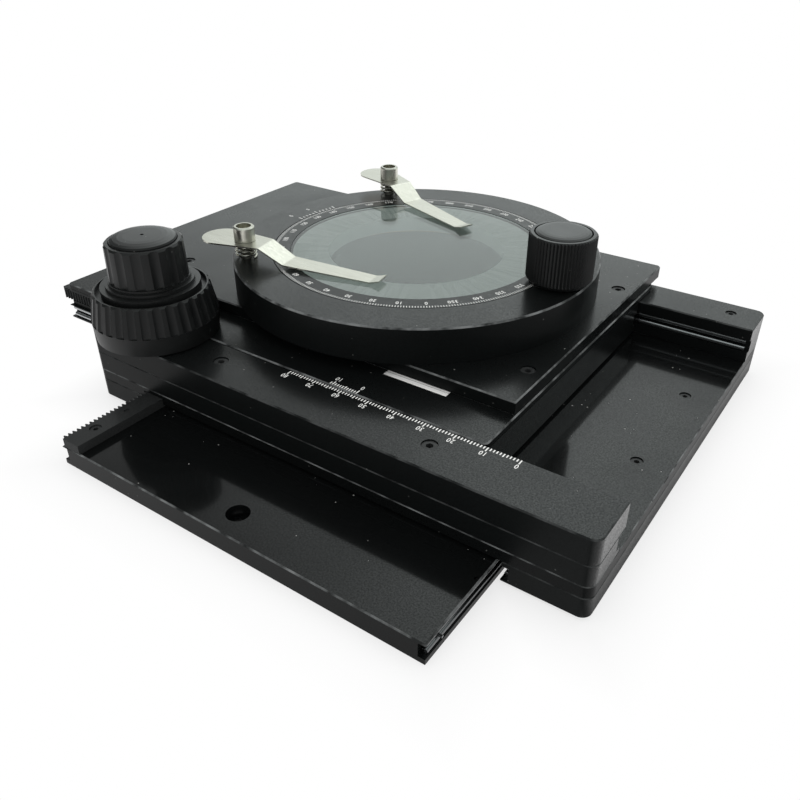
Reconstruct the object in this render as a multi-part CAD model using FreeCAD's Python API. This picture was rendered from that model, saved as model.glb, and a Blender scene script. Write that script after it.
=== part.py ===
import FreeCAD, Part
import math
import os
from FreeCAD import Vector

# Mechanical microscope stage with a turntable. All lengths are in millimetres, angles in degrees.
# X is the left-right travel, Y the front-back travel and Z is up. The origin is the axis of the
# base plate's light opening, at the plate's underside.

# Setting of the two slides: where the turntable's axis stands from the light opening's axis
ring_x = -19.1
ring_y = 17.0

# Travel of the slides from that setting
x_travel_left = 12.0
x_travel_right = 54.0
y_travel_front = 42.0
y_travel_rear = 8.0

# Base plate
base_width = 135.5
base_depth = 170.0
base_thick = 6.7
base_front_reach = 107.1
base_opening_r = 22.5
mount_hole_r = 2.1
mount_cbore_r = 3.5
mount_cbore_depth = 4.2
mount_hole_inset = 8.4
grub_hole_r = 0.7
grub_hole_setback = 25.0

# Plate finish
corner_r = 3.0
plate_corner_r = 1.5
edge_bevel = 0.4
seam_bevel = 0.25

# Ball guides: two steel rods on each side of a row of balls
rod_r = 0.9
rod_half_pitch = 1.35
ball_r = 1.5
ball_play = 0.02
rail_gap = 1.6
rod_end_inset = 1.5
ball_pitch = 12.0
ball_edge = 6.0
ball_pocket_play = 0.06
cage_thick = 0.6
cage_height = 3.4
cage_margin = 3.0
stop_screw_r = 0.4
stop_screw_inset = 6.5
stop_screw_reach = 0.6

# Front-back slide
carriage_width = 185.0
carriage_shift = 1.0
carriage_depth = 150.0
front_reach = 91.4
rail_clear = 0.9
rail_thick = 6.7
floor_thick = 3.9
front_rail_thick = 6.8
scale_bar_thick = 8.3
front_bar_depth = 18.15
front_rail_setback = 2.1
front_guide_clear = 6.0
rear_bar_depth = 17.5
light_slot_r = 15.0
y_guide_z = 3.9
x_guide_front_z = 15.6
x_guide_rear_z = 17.6

# Left-right slide
slide_width = 183.2
slide_right_reach = 72.2
vernier_thick = 2.2
vernier_gap = 0.4
vernier_lap = 12.9
slide_clear = 0.2
slide_floor_gap = 1.3
slide_lip_top = 18.0
slide_face_gap = 0.5
light_r = 34.0
top_thick = 4.4
top_setback = 17.15
top_depth = 118.0
top_overhang = 2.8
top_right_setback = 0.5
top_corner_r = 8.0
strip_start = 27.5
strip_length = 22.8
strip_width = 4.1
strip_lap = 1.5
strip_sink = 0.08

# Racks and the pinions of the coaxial knobs
module = 0.5
pressure_angle = 20.0
backlash = 0.12
root_factor = 1.25
y_pinion_teeth = 18
x_pinion_teeth = 24
y_rack_width = 8.45
y_rack_height = 3.1
y_rack_setback = 0.3
y_rack_play = 0.5
x_rack_depth = 5.0
x_rack_height = 3.8
rack_lid = 1.0
x_rack_proud = 0.6
x_rack_length = 96.0
x_rack_overhang = 5.5
pinion_play = 0.25
pinion_pocket_play = 0.5

# Coaxial knobs and their shafts
tube_r = 4.0
shaft_r = 2.5
shaft_play = 0.05
bush_wall = 0.8
x_knob_gap = 0.5
x_knob_height = 15.9
x_knob_r = 20.8
x_skirt_r = 20.2
x_rim_r = 18.4
x_skirt_height = 6.4
x_flutes = 30
x_flute_depth = 0.6
x_flute_r = 2.1
x_recess_r = 17.9
x_recess_depth = 1.7
knob_gap = 0.3
knob_rim_bevel = 0.6
collar_r = 16.1
collar_height = 2.6
collar_step_r = 14.3
collar_step_height = 1.2
neck_r = 13.2
neck_height = 1.0
y_knob_r = 12.75
y_rim_r = 11.8
y_knob_height = 12.3
y_flutes = 14
y_flute_depth = 0.55
y_flute_r = 3.2
cap_r = 10.6
cap_ring_gap = 0.25
cap_depth = 1.0
cap_proud = 1.6
cap_dome_width = 4.5
cap_dome_height = 1.3
cap_dimple_r = 0.6
cap_dimple_depth = 0.4
shaft_seat = 9.0
dome_bevels = 4

# Turntable
ring_r = 66.0
ring_height = 12.2
ring_bevel = 0.5
ring_floor = 3.0
dial_r = 52.0
dial_gap = 0.3
dial_flange = 2.5
dial_hub_r = 48.0
dial_opening_r = 32.0
slip_ring_thick = 1.0
slip_ring_width = 12.0
slip_gap = 0.05
glass_r = 45.5
glass_thick = 2.6
glass_gap = 0.1
glass_sink = 0.15

# Turning knob of the turntable
gear_module = 1.0
gear_teeth = 102
turn_pinion_teeth = 11
short_addendum = 0.6
turn_gear_height = 4.4
turn_gear_gap = 0.2
turn_pocket_play = 1.1
turn_knob_r = 11.0
turn_knob_gap = 0.8
turn_knob_height = 16.4
turn_foot_r = 9.7
turn_foot_height = 1.6
turn_ridges = 60
turn_ridge_depth = 0.45
turn_cap_r = 9.1
turn_cap_gap = 0.3
turn_cap_depth = 1.2
turn_cap_proud = 0.7
turn_dome_width = 3.0
turn_dome_height = 1.1
turn_shaft_low = 1.0
turn_bush_r = 4.0

# Specimen clips
post_circle_r = 61.0
post_angles = (225.0, 135.0)
leaf_angles = (10.0, -21.0)
post_r = 2.0
post_thread = 7.0
head_r = 3.65
head_height = 5.1
head_bore_r = 2.6
head_bore_depth = 3.2
leaf_thick = 0.5
leaf_play = 0.08
leaf_hole_play = 0.6
leaf_rest_gap = 0.25
spring_wire_r = 0.4
spring_r = 3.45
spring_turns = 3.4
spring_space = 5.7
spring_end_gap = 0.05
gap_points = 6
tail_r = 7.3
tail_reach = 16.6
bend_reach = 8.5
foot_reach = 17.5
tip_reach = 50.0
leaf_reach = 53.5
bend_half = 4.9
foot_half = 4.3
tip_half = 2.9
foot_rise = 0.75
tip_rise = 0.95
leaf_bend_r = 2.0

# Screws: socket heads sunk in counterbores
screw_head_r = 2.3
screw_head_height = 2.4
screw_shank_r = 1.25
screw_socket_r = 1.15
screw_socket_depth = 1.4
screw_sink = 0.4
screw_grip = 2.5
cbore_play = 0.12
small_head_r = 1.8
small_head_height = 1.6
rail_screw_inset = 10.2
floor_screw_shift = 2.0
floor_screw_pitch = 43.5
bar_screw_pitch = 79.0
bar_screw_inset = 8.2
rear_screw_inset = 7.9
top_screw_right = 6.1
top_screw_left = 32.4
top_screw_front = 18.3
top_screw_pitch = 70.5
rack_screw_inset = 9.5
rack_dowel_pitch = 12.1
rack_dowel_r = 1.0

# Places that follow from the sizes
base_x0, base_x1 = -base_width / 2, base_width / 2
base_y0 = -base_front_reach
base_y1 = base_y0 + base_depth
car_x0 = carriage_shift - carriage_width / 2
car_x1 = car_x0 + carriage_width
car_y0 = ring_y - front_reach
car_y1 = car_y0 + carriage_depth
rail_z1 = rail_clear + rail_thick
floor_z1 = rail_z1 + floor_thick
front_rail_z1 = floor_z1 + front_rail_thick
bar_z1 = front_rail_z1 + scale_bar_thick
bar_inner_y = car_y0 + front_bar_depth
front_rail_inner_y = bar_inner_y - front_rail_setback
rear_inner_y = car_y1 - rear_bar_depth
vernier_z0 = bar_z1 - vernier_thick
rear_rail_z1 = vernier_z0 - slide_clear
slide_x1 = ring_x + slide_right_reach
slide_x0 = slide_x1 - slide_width
slide_y0 = front_rail_inner_y + rail_gap
slide_y1 = rear_inner_y - rail_gap
slide_z0 = floor_z1 + slide_floor_gap
vernier_y0 = bar_inner_y + vernier_gap
vernier_y1 = rear_inner_y + vernier_lap
top_x0 = slide_x0 - top_overhang
top_x1 = slide_x1 - top_right_setback
top_y0 = bar_inner_y + top_setback
top_y1 = top_y0 + top_depth
top_z1 = bar_z1 + top_thick
ring_z1 = top_z1 + ring_height

# Planes midway between the faces of each ball guide, and the rods' offset from them
y_guide_x = base_width / 2 + rail_gap / 2
x_guide_front_y = front_rail_inner_y + rail_gap / 2
x_guide_rear_y = rear_inner_y - rail_gap / 2
rod_offset = math.sqrt((ball_r + rod_r + ball_play) ** 2 - rod_half_pitch ** 2)

# Axis of the coaxial knobs, set by the two racks
y_rack_tip_x = base_x0 + y_rack_setback
x_rack_tip_y = bar_inner_y + x_rack_proud
knob_x = y_rack_tip_x + module - module * y_pinion_teeth / 2
knob_y = x_rack_tip_y + module - module * x_pinion_teeth / 2
x_rack_z1 = vernier_z0 - rack_lid
x_rack_z0 = x_rack_z1 - x_rack_height
x_rack_x0 = slide_x0 - x_rack_overhang
x_rack_x1 = x_rack_x0 + x_rack_length
front_guide_x0 = knob_x + front_guide_clear
x_pinion_tip_r = module * (x_pinion_teeth / 2 + 1)
y_pinion_tip_r = module * (y_pinion_teeth / 2 + 1)
x_pinion_z0 = x_rack_z0 + pinion_play
x_pinion_z1 = x_rack_z1 - pinion_play
y_pinion_z0 = base_thick + pinion_play
y_pinion_z1 = base_thick + y_rack_height - pinion_play / 2
y_rack_channel_z = base_thick + y_rack_height + y_rack_play / 2

# Levels of the coaxial knobs
x_knob_z0 = bar_z1 + x_knob_gap
x_knob_z1 = x_knob_z0 + x_knob_height
collar_z0 = x_knob_z1 - x_recess_depth + knob_gap
collar_z1 = collar_z0 + collar_height
step_z1 = collar_z1 + collar_step_height
neck_z1 = step_z1 + neck_height
y_knob_z1 = neck_z1 + y_knob_height
tube_z1 = x_knob_z1 - x_recess_depth

# Levels and centres of the turntable's drive
dial_z0 = top_z1 + ring_floor + slip_ring_thick + slip_gap
flange_z0 = ring_z1 - dial_flange
turn_gear_z1 = flange_z0
turn_gear_z0 = turn_gear_z1 - turn_gear_height
turn_centres = gear_module * (gear_teeth + turn_pinion_teeth) / 2
turn_x = ring_x + turn_centres
turn_knob_z0 = ring_z1 + turn_knob_gap
turn_knob_z1 = turn_knob_z0 + turn_knob_height
turn_pocket_r = gear_module * (turn_pinion_teeth / 2 + short_addendum) + turn_pocket_play

# Levels of the clips
leaf_z0 = ring_z1 + spring_space
head_z0 = leaf_z0 + leaf_thick + leaf_play
head_z1 = head_z0 + head_height


def box(x0, x1, y0, y1, z0, z1):
    return Part.makeBox(x1 - x0, y1 - y0, z1 - z0, Vector(x0, y0, z0))


def disc(r, x, y, z0, z1):
    return Part.makeCylinder(r, z1 - z0, Vector(x, y, z0))


def tube(r_out, r_in, x, y, z0, z1):
    return disc(r_out, x, y, z0, z1).cut(disc(r_in, x, y, z0, z1))


def turned(profile, x, y):
    """A solid of revolution about the vertical axis at x, y from (radius, height) points."""
    points = [Vector(x + r, y, z) for r, z in profile]
    face = Part.Face(Part.makePolygon(points + points[:1]))
    return face.revolve(Vector(x, y, 0), Vector(0, 0, 1), 360)


def prism(points, z0, z1):
    """A vertical prism over a closed outline of (x, y) points."""
    corners = [Vector(x, y, z0) for x, y in points]
    return Part.Face(Part.makePolygon(corners + corners[:1])).extrude(Vector(0, 0, z1 - z0))


def near(a, b):
    return abs(a - b) < edge_bevel / 10


def block(x0, x1, y0, y1, z0, z1, at=None, axis=None, r=corner_r):
    """A plate with its upright corners rounded, or only those that stand at one place on an axis."""
    solid = box(x0, x1, y0, y1, z0, z1)
    corners = []
    for edge in solid.Edges:
        a, b = edge.Vertexes[0].Point, edge.Vertexes[-1].Point
        if near(a.x, b.x) and near(a.y, b.y) and (axis is None or near(getattr(a, axis), at)):
            corners.append(edge)
    return solid.makeFillet(r, corners)


def standing(solid, *places):
    """The upright edges of a solid that stand at the given places."""
    return [e for e in solid.Edges for x, y in places
            if all(near(v.Point.x, x) and near(v.Point.y, y) for v in e.Vertexes)]


def bevelled(solid, size, z):
    """The solid with a small bevel round its outline at one level."""
    return solid.makeChamfer(size, [e for e in solid.Edges if all(near(v.Point.z, z) for v in e.Vertexes)])


def layer(solid, z0, z1, top_bevel=seam_bevel):
    """A layer of the stack, bevelled above and below so that its seams show."""
    return bevelled(bevelled(solid, seam_bevel, z0), top_bevel, z1)


def slot_hole(r, x, y0, y1, z0, z1):
    """A round-ended slot that runs along Y between two centres."""
    middle = box(x - r, x + r, y0, y1, z0, z1)
    return middle.fuse([disc(r, x, y0, z0, z1), disc(r, x, y1, z0, z1)]).removeSplitter()


def guide_groove(along, plane, side, z, start, end):
    """The cut for a pair of rods, from the guide's middle plane into the part on one side of it."""
    near, far = sorted((plane, plane + side * (rod_offset + rod_r)))
    half = rod_half_pitch + rod_r
    if along == "y":
        return box(near, far, start, end, z - half, z + half)
    return box(start, end, near, far, z - half, z + half)


def guide_rods(along, plane, side, z, start, end):
    """A pair of steel rods seated in the corners of a guide groove."""
    rods = []
    for level in (z - rod_half_pitch, z + rod_half_pitch):
        if along == "y":
            foot = Vector(plane + side * rod_offset, start + rod_end_inset, level)
            way = Vector(0, 1, 0)
        else:
            foot = Vector(start + rod_end_inset, plane + side * rod_offset, level)
            way = Vector(1, 0, 0)
        rods.append(Part.makeCylinder(rod_r, end - start - 2 * rod_end_inset, foot, way))
    return rods


def cage_span(fixed, moving, low, high):
    """Where a ball cage may lie at rest so that both rails cover it over the whole travel."""
    starts, ends = [], []
    for travel in (low, 0.0, high):
        starts.append(max(fixed[0], moving[0] + travel) - travel / 2)
        ends.append(min(fixed[1], moving[1] + travel) - travel / 2)
    return max(starts) + cage_margin, min(ends) - cage_margin


def ball_places(span):
    start, end = span[0] + ball_edge, span[1] - ball_edge
    count = int((end - start) / ball_pitch) + 1
    first = (start + end - (count - 1) * ball_pitch) / 2
    return [first + i * ball_pitch for i in range(count)]


def cage(along, plane, z, span):
    """A thin strip with a round pocket for each ball."""
    half, tall, deep = cage_thick / 2, cage_height / 2, ball_r
    hole_r = ball_r + ball_pocket_play
    pockets = []
    if along == "y":
        strip = box(plane - half, plane + half, span[0], span[1], z - tall, z + tall)
        for y in ball_places(span):
            pockets.append(Part.makeCylinder(hole_r, 2 * deep, Vector(plane - deep, y, z), Vector(1, 0, 0)))
    else:
        strip = box(span[0], span[1], plane - half, plane + half, z - tall, z + tall)
        for x in ball_places(span):
            pockets.append(Part.makeCylinder(hole_r, 2 * deep, Vector(x, plane - deep, z), Vector(0, 1, 0)))
    return strip.cut(pockets)


def balls(along, plane, z, span):
    if along == "y":
        return [Part.makeSphere(ball_r, Vector(plane, y, z)) for y in ball_places(span)]
    return [Part.makeSphere(ball_r, Vector(x, plane, z)) for x in ball_places(span)]


def involute(angle):
    return math.tan(angle) - angle


def gear(x, y, z0, z1, teeth, size, tip, phase, bore_r):
    """A spur gear with a tooth centred at the phase angle; tip is its addendum in modules."""
    pitch_r = size * teeth / 2
    tip_r = pitch_r + tip * size
    root_r = pitch_r - root_factor * size
    press = math.radians(pressure_angle)
    base_r = pitch_r * math.cos(press)
    start_r = max(base_r, root_r)
    flank = [start_r, (start_r + pitch_r) / 2, pitch_r, (pitch_r + tip_r) / 2, tip_r]

    def half_angle(r):
        at_pitch = math.pi / (2 * teeth) - backlash / (2 * pitch_r)
        return at_pitch + involute(press) - involute(math.acos(min(1.0, base_r / r)))

    side = [(root_r, half_angle(start_r))] + [(r, half_angle(r)) for r in flank]
    points = []
    for i in range(teeth):
        centre = math.radians(phase) + 2 * math.pi * i / teeth
        for r, a in side:
            points.append((x + r * math.cos(centre - a), y + r * math.sin(centre - a)))
        for r, a in reversed(side):
            points.append((x + r * math.cos(centre + a), y + r * math.sin(centre + a)))
    return prism(points, z0, z1).cut(disc(bore_r, x, y, z0, z1))


def rack_profile(start, end, gap_at):
    """Distances along a rack and heights from its pitch line, with a gap centred at gap_at."""
    pitch = math.pi * module
    slope = math.tan(math.radians(pressure_angle))
    low, high = -root_factor * module, module
    half = pitch / 4 - backlash / 2
    foot, crest = half - low * slope, half - high * slope
    points = [(start, low)]
    first = math.ceil((start + foot - gap_at) / pitch - 0.5)
    last = math.floor((end - foot - gap_at) / pitch - 0.5)
    for i in range(first, last + 1):
        centre = gap_at + (i + 0.5) * pitch
        points += [(centre - foot, low), (centre - crest, high), (centre + crest, high), (centre + foot, low)]
    points.append((end, low))
    return points


def hexagon(r, x, y, z0, z1):
    turns = [math.radians(60 * i) for i in range(6)]
    return prism([(x + r * math.cos(a), y + r * math.sin(a)) for a in turns], z0, z1)


def head_size(small):
    return (small_head_r, small_head_height) if small else (screw_head_r, screw_head_height)


def cap_screw(x, y, z_top, z_end, small=False):
    """A socket screw whose head is sunk below the face at z_top; its shank ends at z_end."""
    head_radius, head_height = head_size(small)
    share = head_radius / screw_head_r
    head_top = z_top - screw_sink
    seat = head_top - head_height
    socket_depth = screw_socket_depth * share
    head = disc(head_radius, x, y, seat, head_top)
    head = head.cut(hexagon(screw_socket_r * share, x, y, head_top - socket_depth, head_top))
    return head.fuse(disc(screw_shank_r * share, x, y, z_end, seat)).removeSplitter()


def screw_hole(x, y, z_top, z_end, small=False):
    """The counterbore and the hole that a cap screw fills."""
    head_radius, head_height = head_size(small)
    seat = z_top - screw_sink - head_height
    wide = disc(head_radius + cbore_play, x, y, seat, z_top)
    return wide.fuse(disc(screw_shank_r * head_radius / screw_head_r, x, y, z_end, seat))


def turned_over(shape, x, y, z):
    """The shape turned upside down about a level line through x, y, z."""
    shape.rotate(Vector(x, y, z), Vector(1, 0, 0), 180)
    return shape


def bar_screws():
    y = bar_inner_y - bar_screw_inset
    return [(carriage_shift + s * bar_screw_pitch / 2, y, bar_z1, floor_z1 - screw_grip) for s in (-1, 1)]


def rail_screws():
    """The small screws that hold the rear rail and the floor plate down on the side rails."""
    middle = (bar_inner_y + rear_inner_y) / 2 + floor_screw_shift
    end = rail_z1 - screw_grip
    rear, floor = [], []
    for x in (car_x0 + rail_screw_inset, car_x1 - rail_screw_inset):
        rear.append((x, car_y1 - rear_screw_inset, rear_rail_z1, end, True))
        floor += [(x, middle + s * floor_screw_pitch / 2, floor_z1, end, True) for s in (-1, 1)]
    return rear, floor


def top_screws():
    rows = (top_y0 + top_screw_front, top_y0 + top_screw_front + top_screw_pitch)
    return [(x, y, top_z1, vernier_z0 - screw_grip)
            for x in (top_x0 + top_screw_left, slide_x1 - top_screw_right) for y in rows]


def y_rack_places():
    """Along the rack: a screw and a dowel near each end, and a screw in the middle."""
    x = y_rack_tip_x + module + (y_rack_width - module) / 2
    top = base_thick + y_rack_height
    near_y, far_y = base_y0 + rack_screw_inset, base_y1 - rack_screw_inset
    screws = [(x, y, top, base_thick - screw_grip, True) for y in (near_y, (near_y + far_y) / 2, far_y)]
    dowels = [(x, y, base_thick - screw_grip, top - screw_sink)
              for y in (near_y + rack_dowel_pitch, far_y - rack_dowel_pitch)]
    return screws, dowels


def x_rack_places():
    """Screws that come up through the slide body into the rack, as places on its underside."""
    y = x_rack_tip_y + x_rack_depth - module - screw_shank_r
    end = 2 * slide_z0 - x_rack_z0 - screw_grip
    span = x_rack_x1 - slide_x0 - 2 * rack_screw_inset
    return [(slide_x0 + rack_screw_inset + s * span, y, slide_z0, end, True) for s in (0, 0.5, 1)]


def base_plate():
    solid = bevelled(box(base_x0, base_x1, base_y0, base_y1, 0, base_thick), edge_bevel, base_thick)
    cuts = [disc(base_opening_r, 0, 0, 0, base_thick)]
    for y in (base_y0 + mount_hole_inset, base_y1 - mount_hole_inset):
        cuts.append(disc(mount_hole_r, 0, y, 0, base_thick))
        cuts.append(disc(mount_cbore_r, 0, y, base_thick - mount_cbore_depth, base_thick))
    for side in (-1, 1):
        cuts.append(guide_groove("y", side * y_guide_x, -side, y_guide_z, base_y0, base_y1))
        cuts += [stop_screw(side, y) for y in stop_screw_rows()]
    cuts.append(disc(grub_hole_r, y_guide_x - rod_offset, base_y0 + grub_hole_setback,
                     y_guide_z + rod_half_pitch + rod_r, base_thick))
    screws, dowels = y_rack_places()
    cuts += [screw_hole(*place) for place in screws]
    cuts += [disc(rack_dowel_r, *place) for place in dowels]
    return solid.cut(cuts)


def stop_screw_rows():
    return base_y0 + stop_screw_inset, base_y1 - stop_screw_inset


def stop_screw(side, y):
    """A small screw across the base plate's groove, which keeps the ball cage in."""
    inner = y_guide_x - rod_offset - rod_r - base_thick
    outer = y_guide_x - rail_gap / 2 + stop_screw_reach
    foot = Vector(side * inner, y, y_guide_z)
    return Part.makeCylinder(stop_screw_r, outer - inner, foot, Vector(side, 0, 0))


def y_rack():
    profile = rack_profile(base_y0, base_y1, knob_y)
    pitch_x = y_rack_tip_x + module
    back = y_rack_tip_x + y_rack_width
    outline = [(pitch_x - h, s) for s, h in profile] + [(back, base_y1), (back, base_y0)]
    solid = prism(outline, base_thick, base_thick + y_rack_height)
    screws, dowels = y_rack_places()
    cuts = [screw_hole(*place) for place in screws]
    cuts += [disc(rack_dowel_r, x, y, z0, z1 + screw_sink) for x, y, z0, z1 in dowels]
    return solid.cut(cuts)


def y_rack_screws():
    screws, dowels = y_rack_places()
    return [cap_screw(*place) for place in screws] + [disc(rack_dowel_r, *place) for place in dowels]


def side_rail(side):
    inner = base_width / 2 + rail_gap
    x0, x1 = (inner, car_x1) if side > 0 else (car_x0, -inner)
    solid = block(x0, x1, car_y0, car_y1, rail_clear, rail_z1, x0 if side < 0 else x1, "x")
    solid = layer(solid, rail_clear, rail_z1)
    cuts = [guide_groove("y", side * y_guide_x, side, y_guide_z, car_y0, car_y1)]
    if side < 0:
        cuts.append(disc(y_pinion_tip_r + pinion_pocket_play, knob_x, knob_y,
                         y_pinion_z0 - pinion_pocket_play / 2, rail_z1))
    rear, floor = rail_screws()
    cuts += [screw_hole(*place) for place in rear + floor]
    return solid.cut(cuts)


def floor_plate():
    solid = layer(block(car_x0, car_x1, car_y0, car_y1, rail_z1, floor_z1), rail_z1, floor_z1)
    cuts = [slot_hole(light_slot_r, 0, -y_travel_rear, y_travel_front, rail_z1, floor_z1)]
    cuts.append(box(y_rack_tip_x - y_rack_play, y_rack_tip_x + y_rack_width + y_rack_play,
                    car_y0, car_y1, rail_z1, y_rack_channel_z))
    cuts.append(disc(y_pinion_tip_r + pinion_pocket_play, knob_x, knob_y, rail_z1, y_rack_channel_z))
    cuts.append(disc(shaft_r + bush_wall, knob_x, knob_y, y_rack_channel_z, floor_z1))
    rear, floor = rail_screws()
    cuts += [screw_hole(*place) for place in rear + floor + bar_screws()]
    return solid.cut(cuts)


def front_rail():
    solid = block(car_x0, car_x1, car_y0, front_rail_inner_y, floor_z1, front_rail_z1, car_y0, "y")
    solid = layer(solid, floor_z1, front_rail_z1)
    cuts = [guide_groove("x", x_guide_front_y, -1, x_guide_front_z, front_guide_x0, car_x1)]
    cuts.append(disc(shaft_r + bush_wall, knob_x, knob_y, floor_z1, front_rail_z1))
    cuts += [screw_hole(*place) for place in bar_screws()]
    return solid.cut(cuts)


def scale_bar():
    solid = block(car_x0, car_x1, car_y0, bar_inner_y, front_rail_z1, bar_z1, car_y0, "y")
    solid = layer(solid, front_rail_z1, bar_z1, edge_bevel)
    pocket_top = x_pinion_z1 + pinion_pocket_play
    cuts = [disc(x_pinion_tip_r + pinion_pocket_play, knob_x, knob_y, front_rail_z1, pocket_top)]
    cuts.append(disc(tube_r + bush_wall, knob_x, knob_y, pocket_top, bar_z1))
    cuts += [screw_hole(*place) for place in bar_screws()]
    return solid.cut(cuts)


def rear_rail():
    solid = block(car_x0, car_x1, rear_inner_y, car_y1, floor_z1, rear_rail_z1, car_y1, "y")
    solid = layer(solid, floor_z1, rear_rail_z1, edge_bevel)
    cuts = [guide_groove("x", x_guide_rear_y, 1, x_guide_rear_z, car_x0, car_x1)]
    cuts += [screw_hole(*place) for place in rail_screws()[0]]
    return solid.cut(cuts)


def upper_bush():
    return tube(tube_r + bush_wall, tube_r + shaft_play, knob_x, knob_y,
                x_pinion_z1 + pinion_pocket_play, bar_z1)


def lower_bush():
    return tube(shaft_r + bush_wall, shaft_r + shaft_play, knob_x, knob_y,
                y_rack_channel_z, front_rail_z1)


def slide_body():
    """The plate that runs between the rails: a lip for the front rods, a seat for the rack."""
    solid = box(slide_x0, slide_x1, slide_y0, slide_y1, slide_z0, vernier_z0)
    over_lip = bar_inner_y + slide_face_gap
    cuts = [box(slide_x0, slide_x1, slide_y0, over_lip, slide_lip_top, vernier_z0)]
    cuts.append(box(slide_x0, x_rack_x1, slide_y0, x_rack_tip_y + x_rack_depth, x_rack_z0, x_rack_z1))
    solid = solid.cut(cuts)
    corners = standing(solid, (slide_x0, over_lip), (slide_x1, over_lip))
    solid = solid.makeFillet(plate_corner_r, corners)
    cuts = [disc(light_r, ring_x, ring_y, slide_z0, vernier_z0)]
    cuts.append(guide_groove("x", x_guide_front_y, 1, x_guide_front_z, slide_x0, slide_x1))
    cuts.append(guide_groove("x", x_guide_rear_y, -1, x_guide_rear_z, slide_x0, slide_x1))
    cuts += [screw_hole(*place) for place in top_screws()]
    cuts += [turned_over(screw_hole(*place), *place[:3]) for place in x_rack_places()]
    return solid.cut(cuts)


def vernier_plate():
    solid = block(slide_x0, slide_x1, vernier_y0, vernier_y1, vernier_z0, bar_z1, r=plate_corner_r)
    solid = layer(solid, vernier_z0, bar_z1, edge_bevel)
    cuts = [disc(light_r, ring_x, ring_y, vernier_z0, bar_z1)]
    cuts.append(strip_box(bar_z1))
    cuts += [screw_hole(*place) for place in top_screws()]
    return solid.cut(cuts)


def strip_box(z1):
    x0 = ring_x + strip_start
    y1 = top_y0 + strip_lap
    return box(x0, x0 + strip_length, y1 - strip_width, y1, vernier_z0, z1)


def bright_strip():
    return strip_box(bar_z1 - strip_sink)


def top_plate():
    solid = block(top_x0, top_x1, top_y0, top_y1, bar_z1, top_z1, top_y1, "y", plate_corner_r)
    solid = solid.makeFillet(top_corner_r, standing(solid, (top_x0, top_y0)))
    solid = layer(solid, bar_z1, top_z1, edge_bevel)
    cuts = [disc(light_r, ring_x, ring_y, bar_z1, top_z1)]
    cuts += [screw_hole(*place) for place in top_screws()]
    return solid.cut(cuts)


def x_rack():
    profile = rack_profile(x_rack_x0, x_rack_x1, knob_x)
    pitch_y = x_rack_tip_y + module
    back = x_rack_tip_y + x_rack_depth
    outline = [(s, pitch_y - h) for s, h in profile] + [(x_rack_x1, back), (x_rack_x0, back)]
    return prism(outline, x_rack_z0, x_rack_z1).cut(x_rack_screws())


def x_rack_screws():
    return [turned_over(cap_screw(*place), *place[:3]) for place in x_rack_places()]


def x_pinion():
    return gear(knob_x, knob_y, x_pinion_z0, x_pinion_z1, x_pinion_teeth, module, 1, 90, tube_r)


def y_pinion():
    return gear(knob_x, knob_y, y_pinion_z0, y_pinion_z1, y_pinion_teeth, module, 1, 0, shaft_r)


def tube_shaft():
    return tube(tube_r, shaft_r + shaft_play, knob_x, knob_y, x_pinion_z0, tube_z1)


def inner_shaft():
    return disc(shaft_r, knob_x, knob_y, y_pinion_z0, neck_z1 + shaft_seat)


def flutes(x, y, z0, z1, count, r0, r1, cutter_r, depth):
    """Cutters round a knob, whose axes stand outside it and lean in with its taper."""
    out = cutter_r - depth
    cutters = []
    for i in range(count):
        way = Vector(math.cos(2 * math.pi * i / count), math.sin(2 * math.pi * i / count), 0)
        foot = Vector(x, y, z0) + way * (r0 + out)
        lean = Vector(0, 0, z1 - z0) + way * (r1 - r0)
        cutters.append(Part.makeCylinder(cutter_r, lean.Length + cutter_r, foot, lean))
    return cutters


def x_knob():
    """The large lower knob: a plain skirt, a fluted grip and a recess for the upper knob's collar."""
    shoulder = x_knob_z0 + x_skirt_height
    profile = [(tube_r, x_knob_z0), (x_skirt_r, x_knob_z0), (x_knob_r, shoulder),
               (x_rim_r + knob_rim_bevel, x_knob_z1 - knob_rim_bevel), (x_rim_r, x_knob_z1),
               (x_recess_r, x_knob_z1),
               (x_recess_r, tube_z1), (tube_r, tube_z1)]
    grip = flutes(knob_x, knob_y, shoulder, x_knob_z1, x_flutes, x_knob_r, x_rim_r + knob_rim_bevel,
                  x_flute_r, x_flute_depth)
    return turned(profile, knob_x, knob_y).cut(grip)


def y_knob():
    """The small upper knob: a collar in two steps, a fluted grip and a seat for its cap."""
    seat = y_knob_z1 - cap_depth
    seat_r = cap_r + cap_ring_gap
    profile = [(0, neck_z1), (shaft_r, neck_z1), (shaft_r, collar_z0), (collar_r, collar_z0),
               (collar_r, collar_z1), (collar_step_r, collar_z1), (collar_step_r, step_z1),
               (neck_r, step_z1), (neck_r, neck_z1), (y_knob_r, neck_z1),
               (y_rim_r + knob_rim_bevel, y_knob_z1 - knob_rim_bevel), (y_rim_r, y_knob_z1),
               (seat_r, y_knob_z1), (seat_r, seat), (0, seat)]
    solid = turned(profile, knob_x, knob_y)
    cuts = flutes(knob_x, knob_y, neck_z1, y_knob_z1, y_flutes, y_knob_r, y_rim_r + knob_rim_bevel,
                  y_flute_r, y_flute_depth)
    cuts.append(disc(shaft_r, knob_x, knob_y, collar_z0, neck_z1 + shaft_seat))
    return solid.cut(cuts)


def domed_disc(r, x, y, z0, z1, dome_width, dome_height):
    """A disc whose upper edge is rounded off in short bevels, wider than it is high."""
    turns = [math.radians(90 * i / dome_bevels) for i in range(dome_bevels + 1)]
    edge = [(r - dome_width * (1 - math.cos(a)), z1 - dome_height * (1 - math.sin(a))) for a in turns]
    return turned([(0, z0), (r, z0)] + edge + [(0, z1)], x, y)


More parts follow.
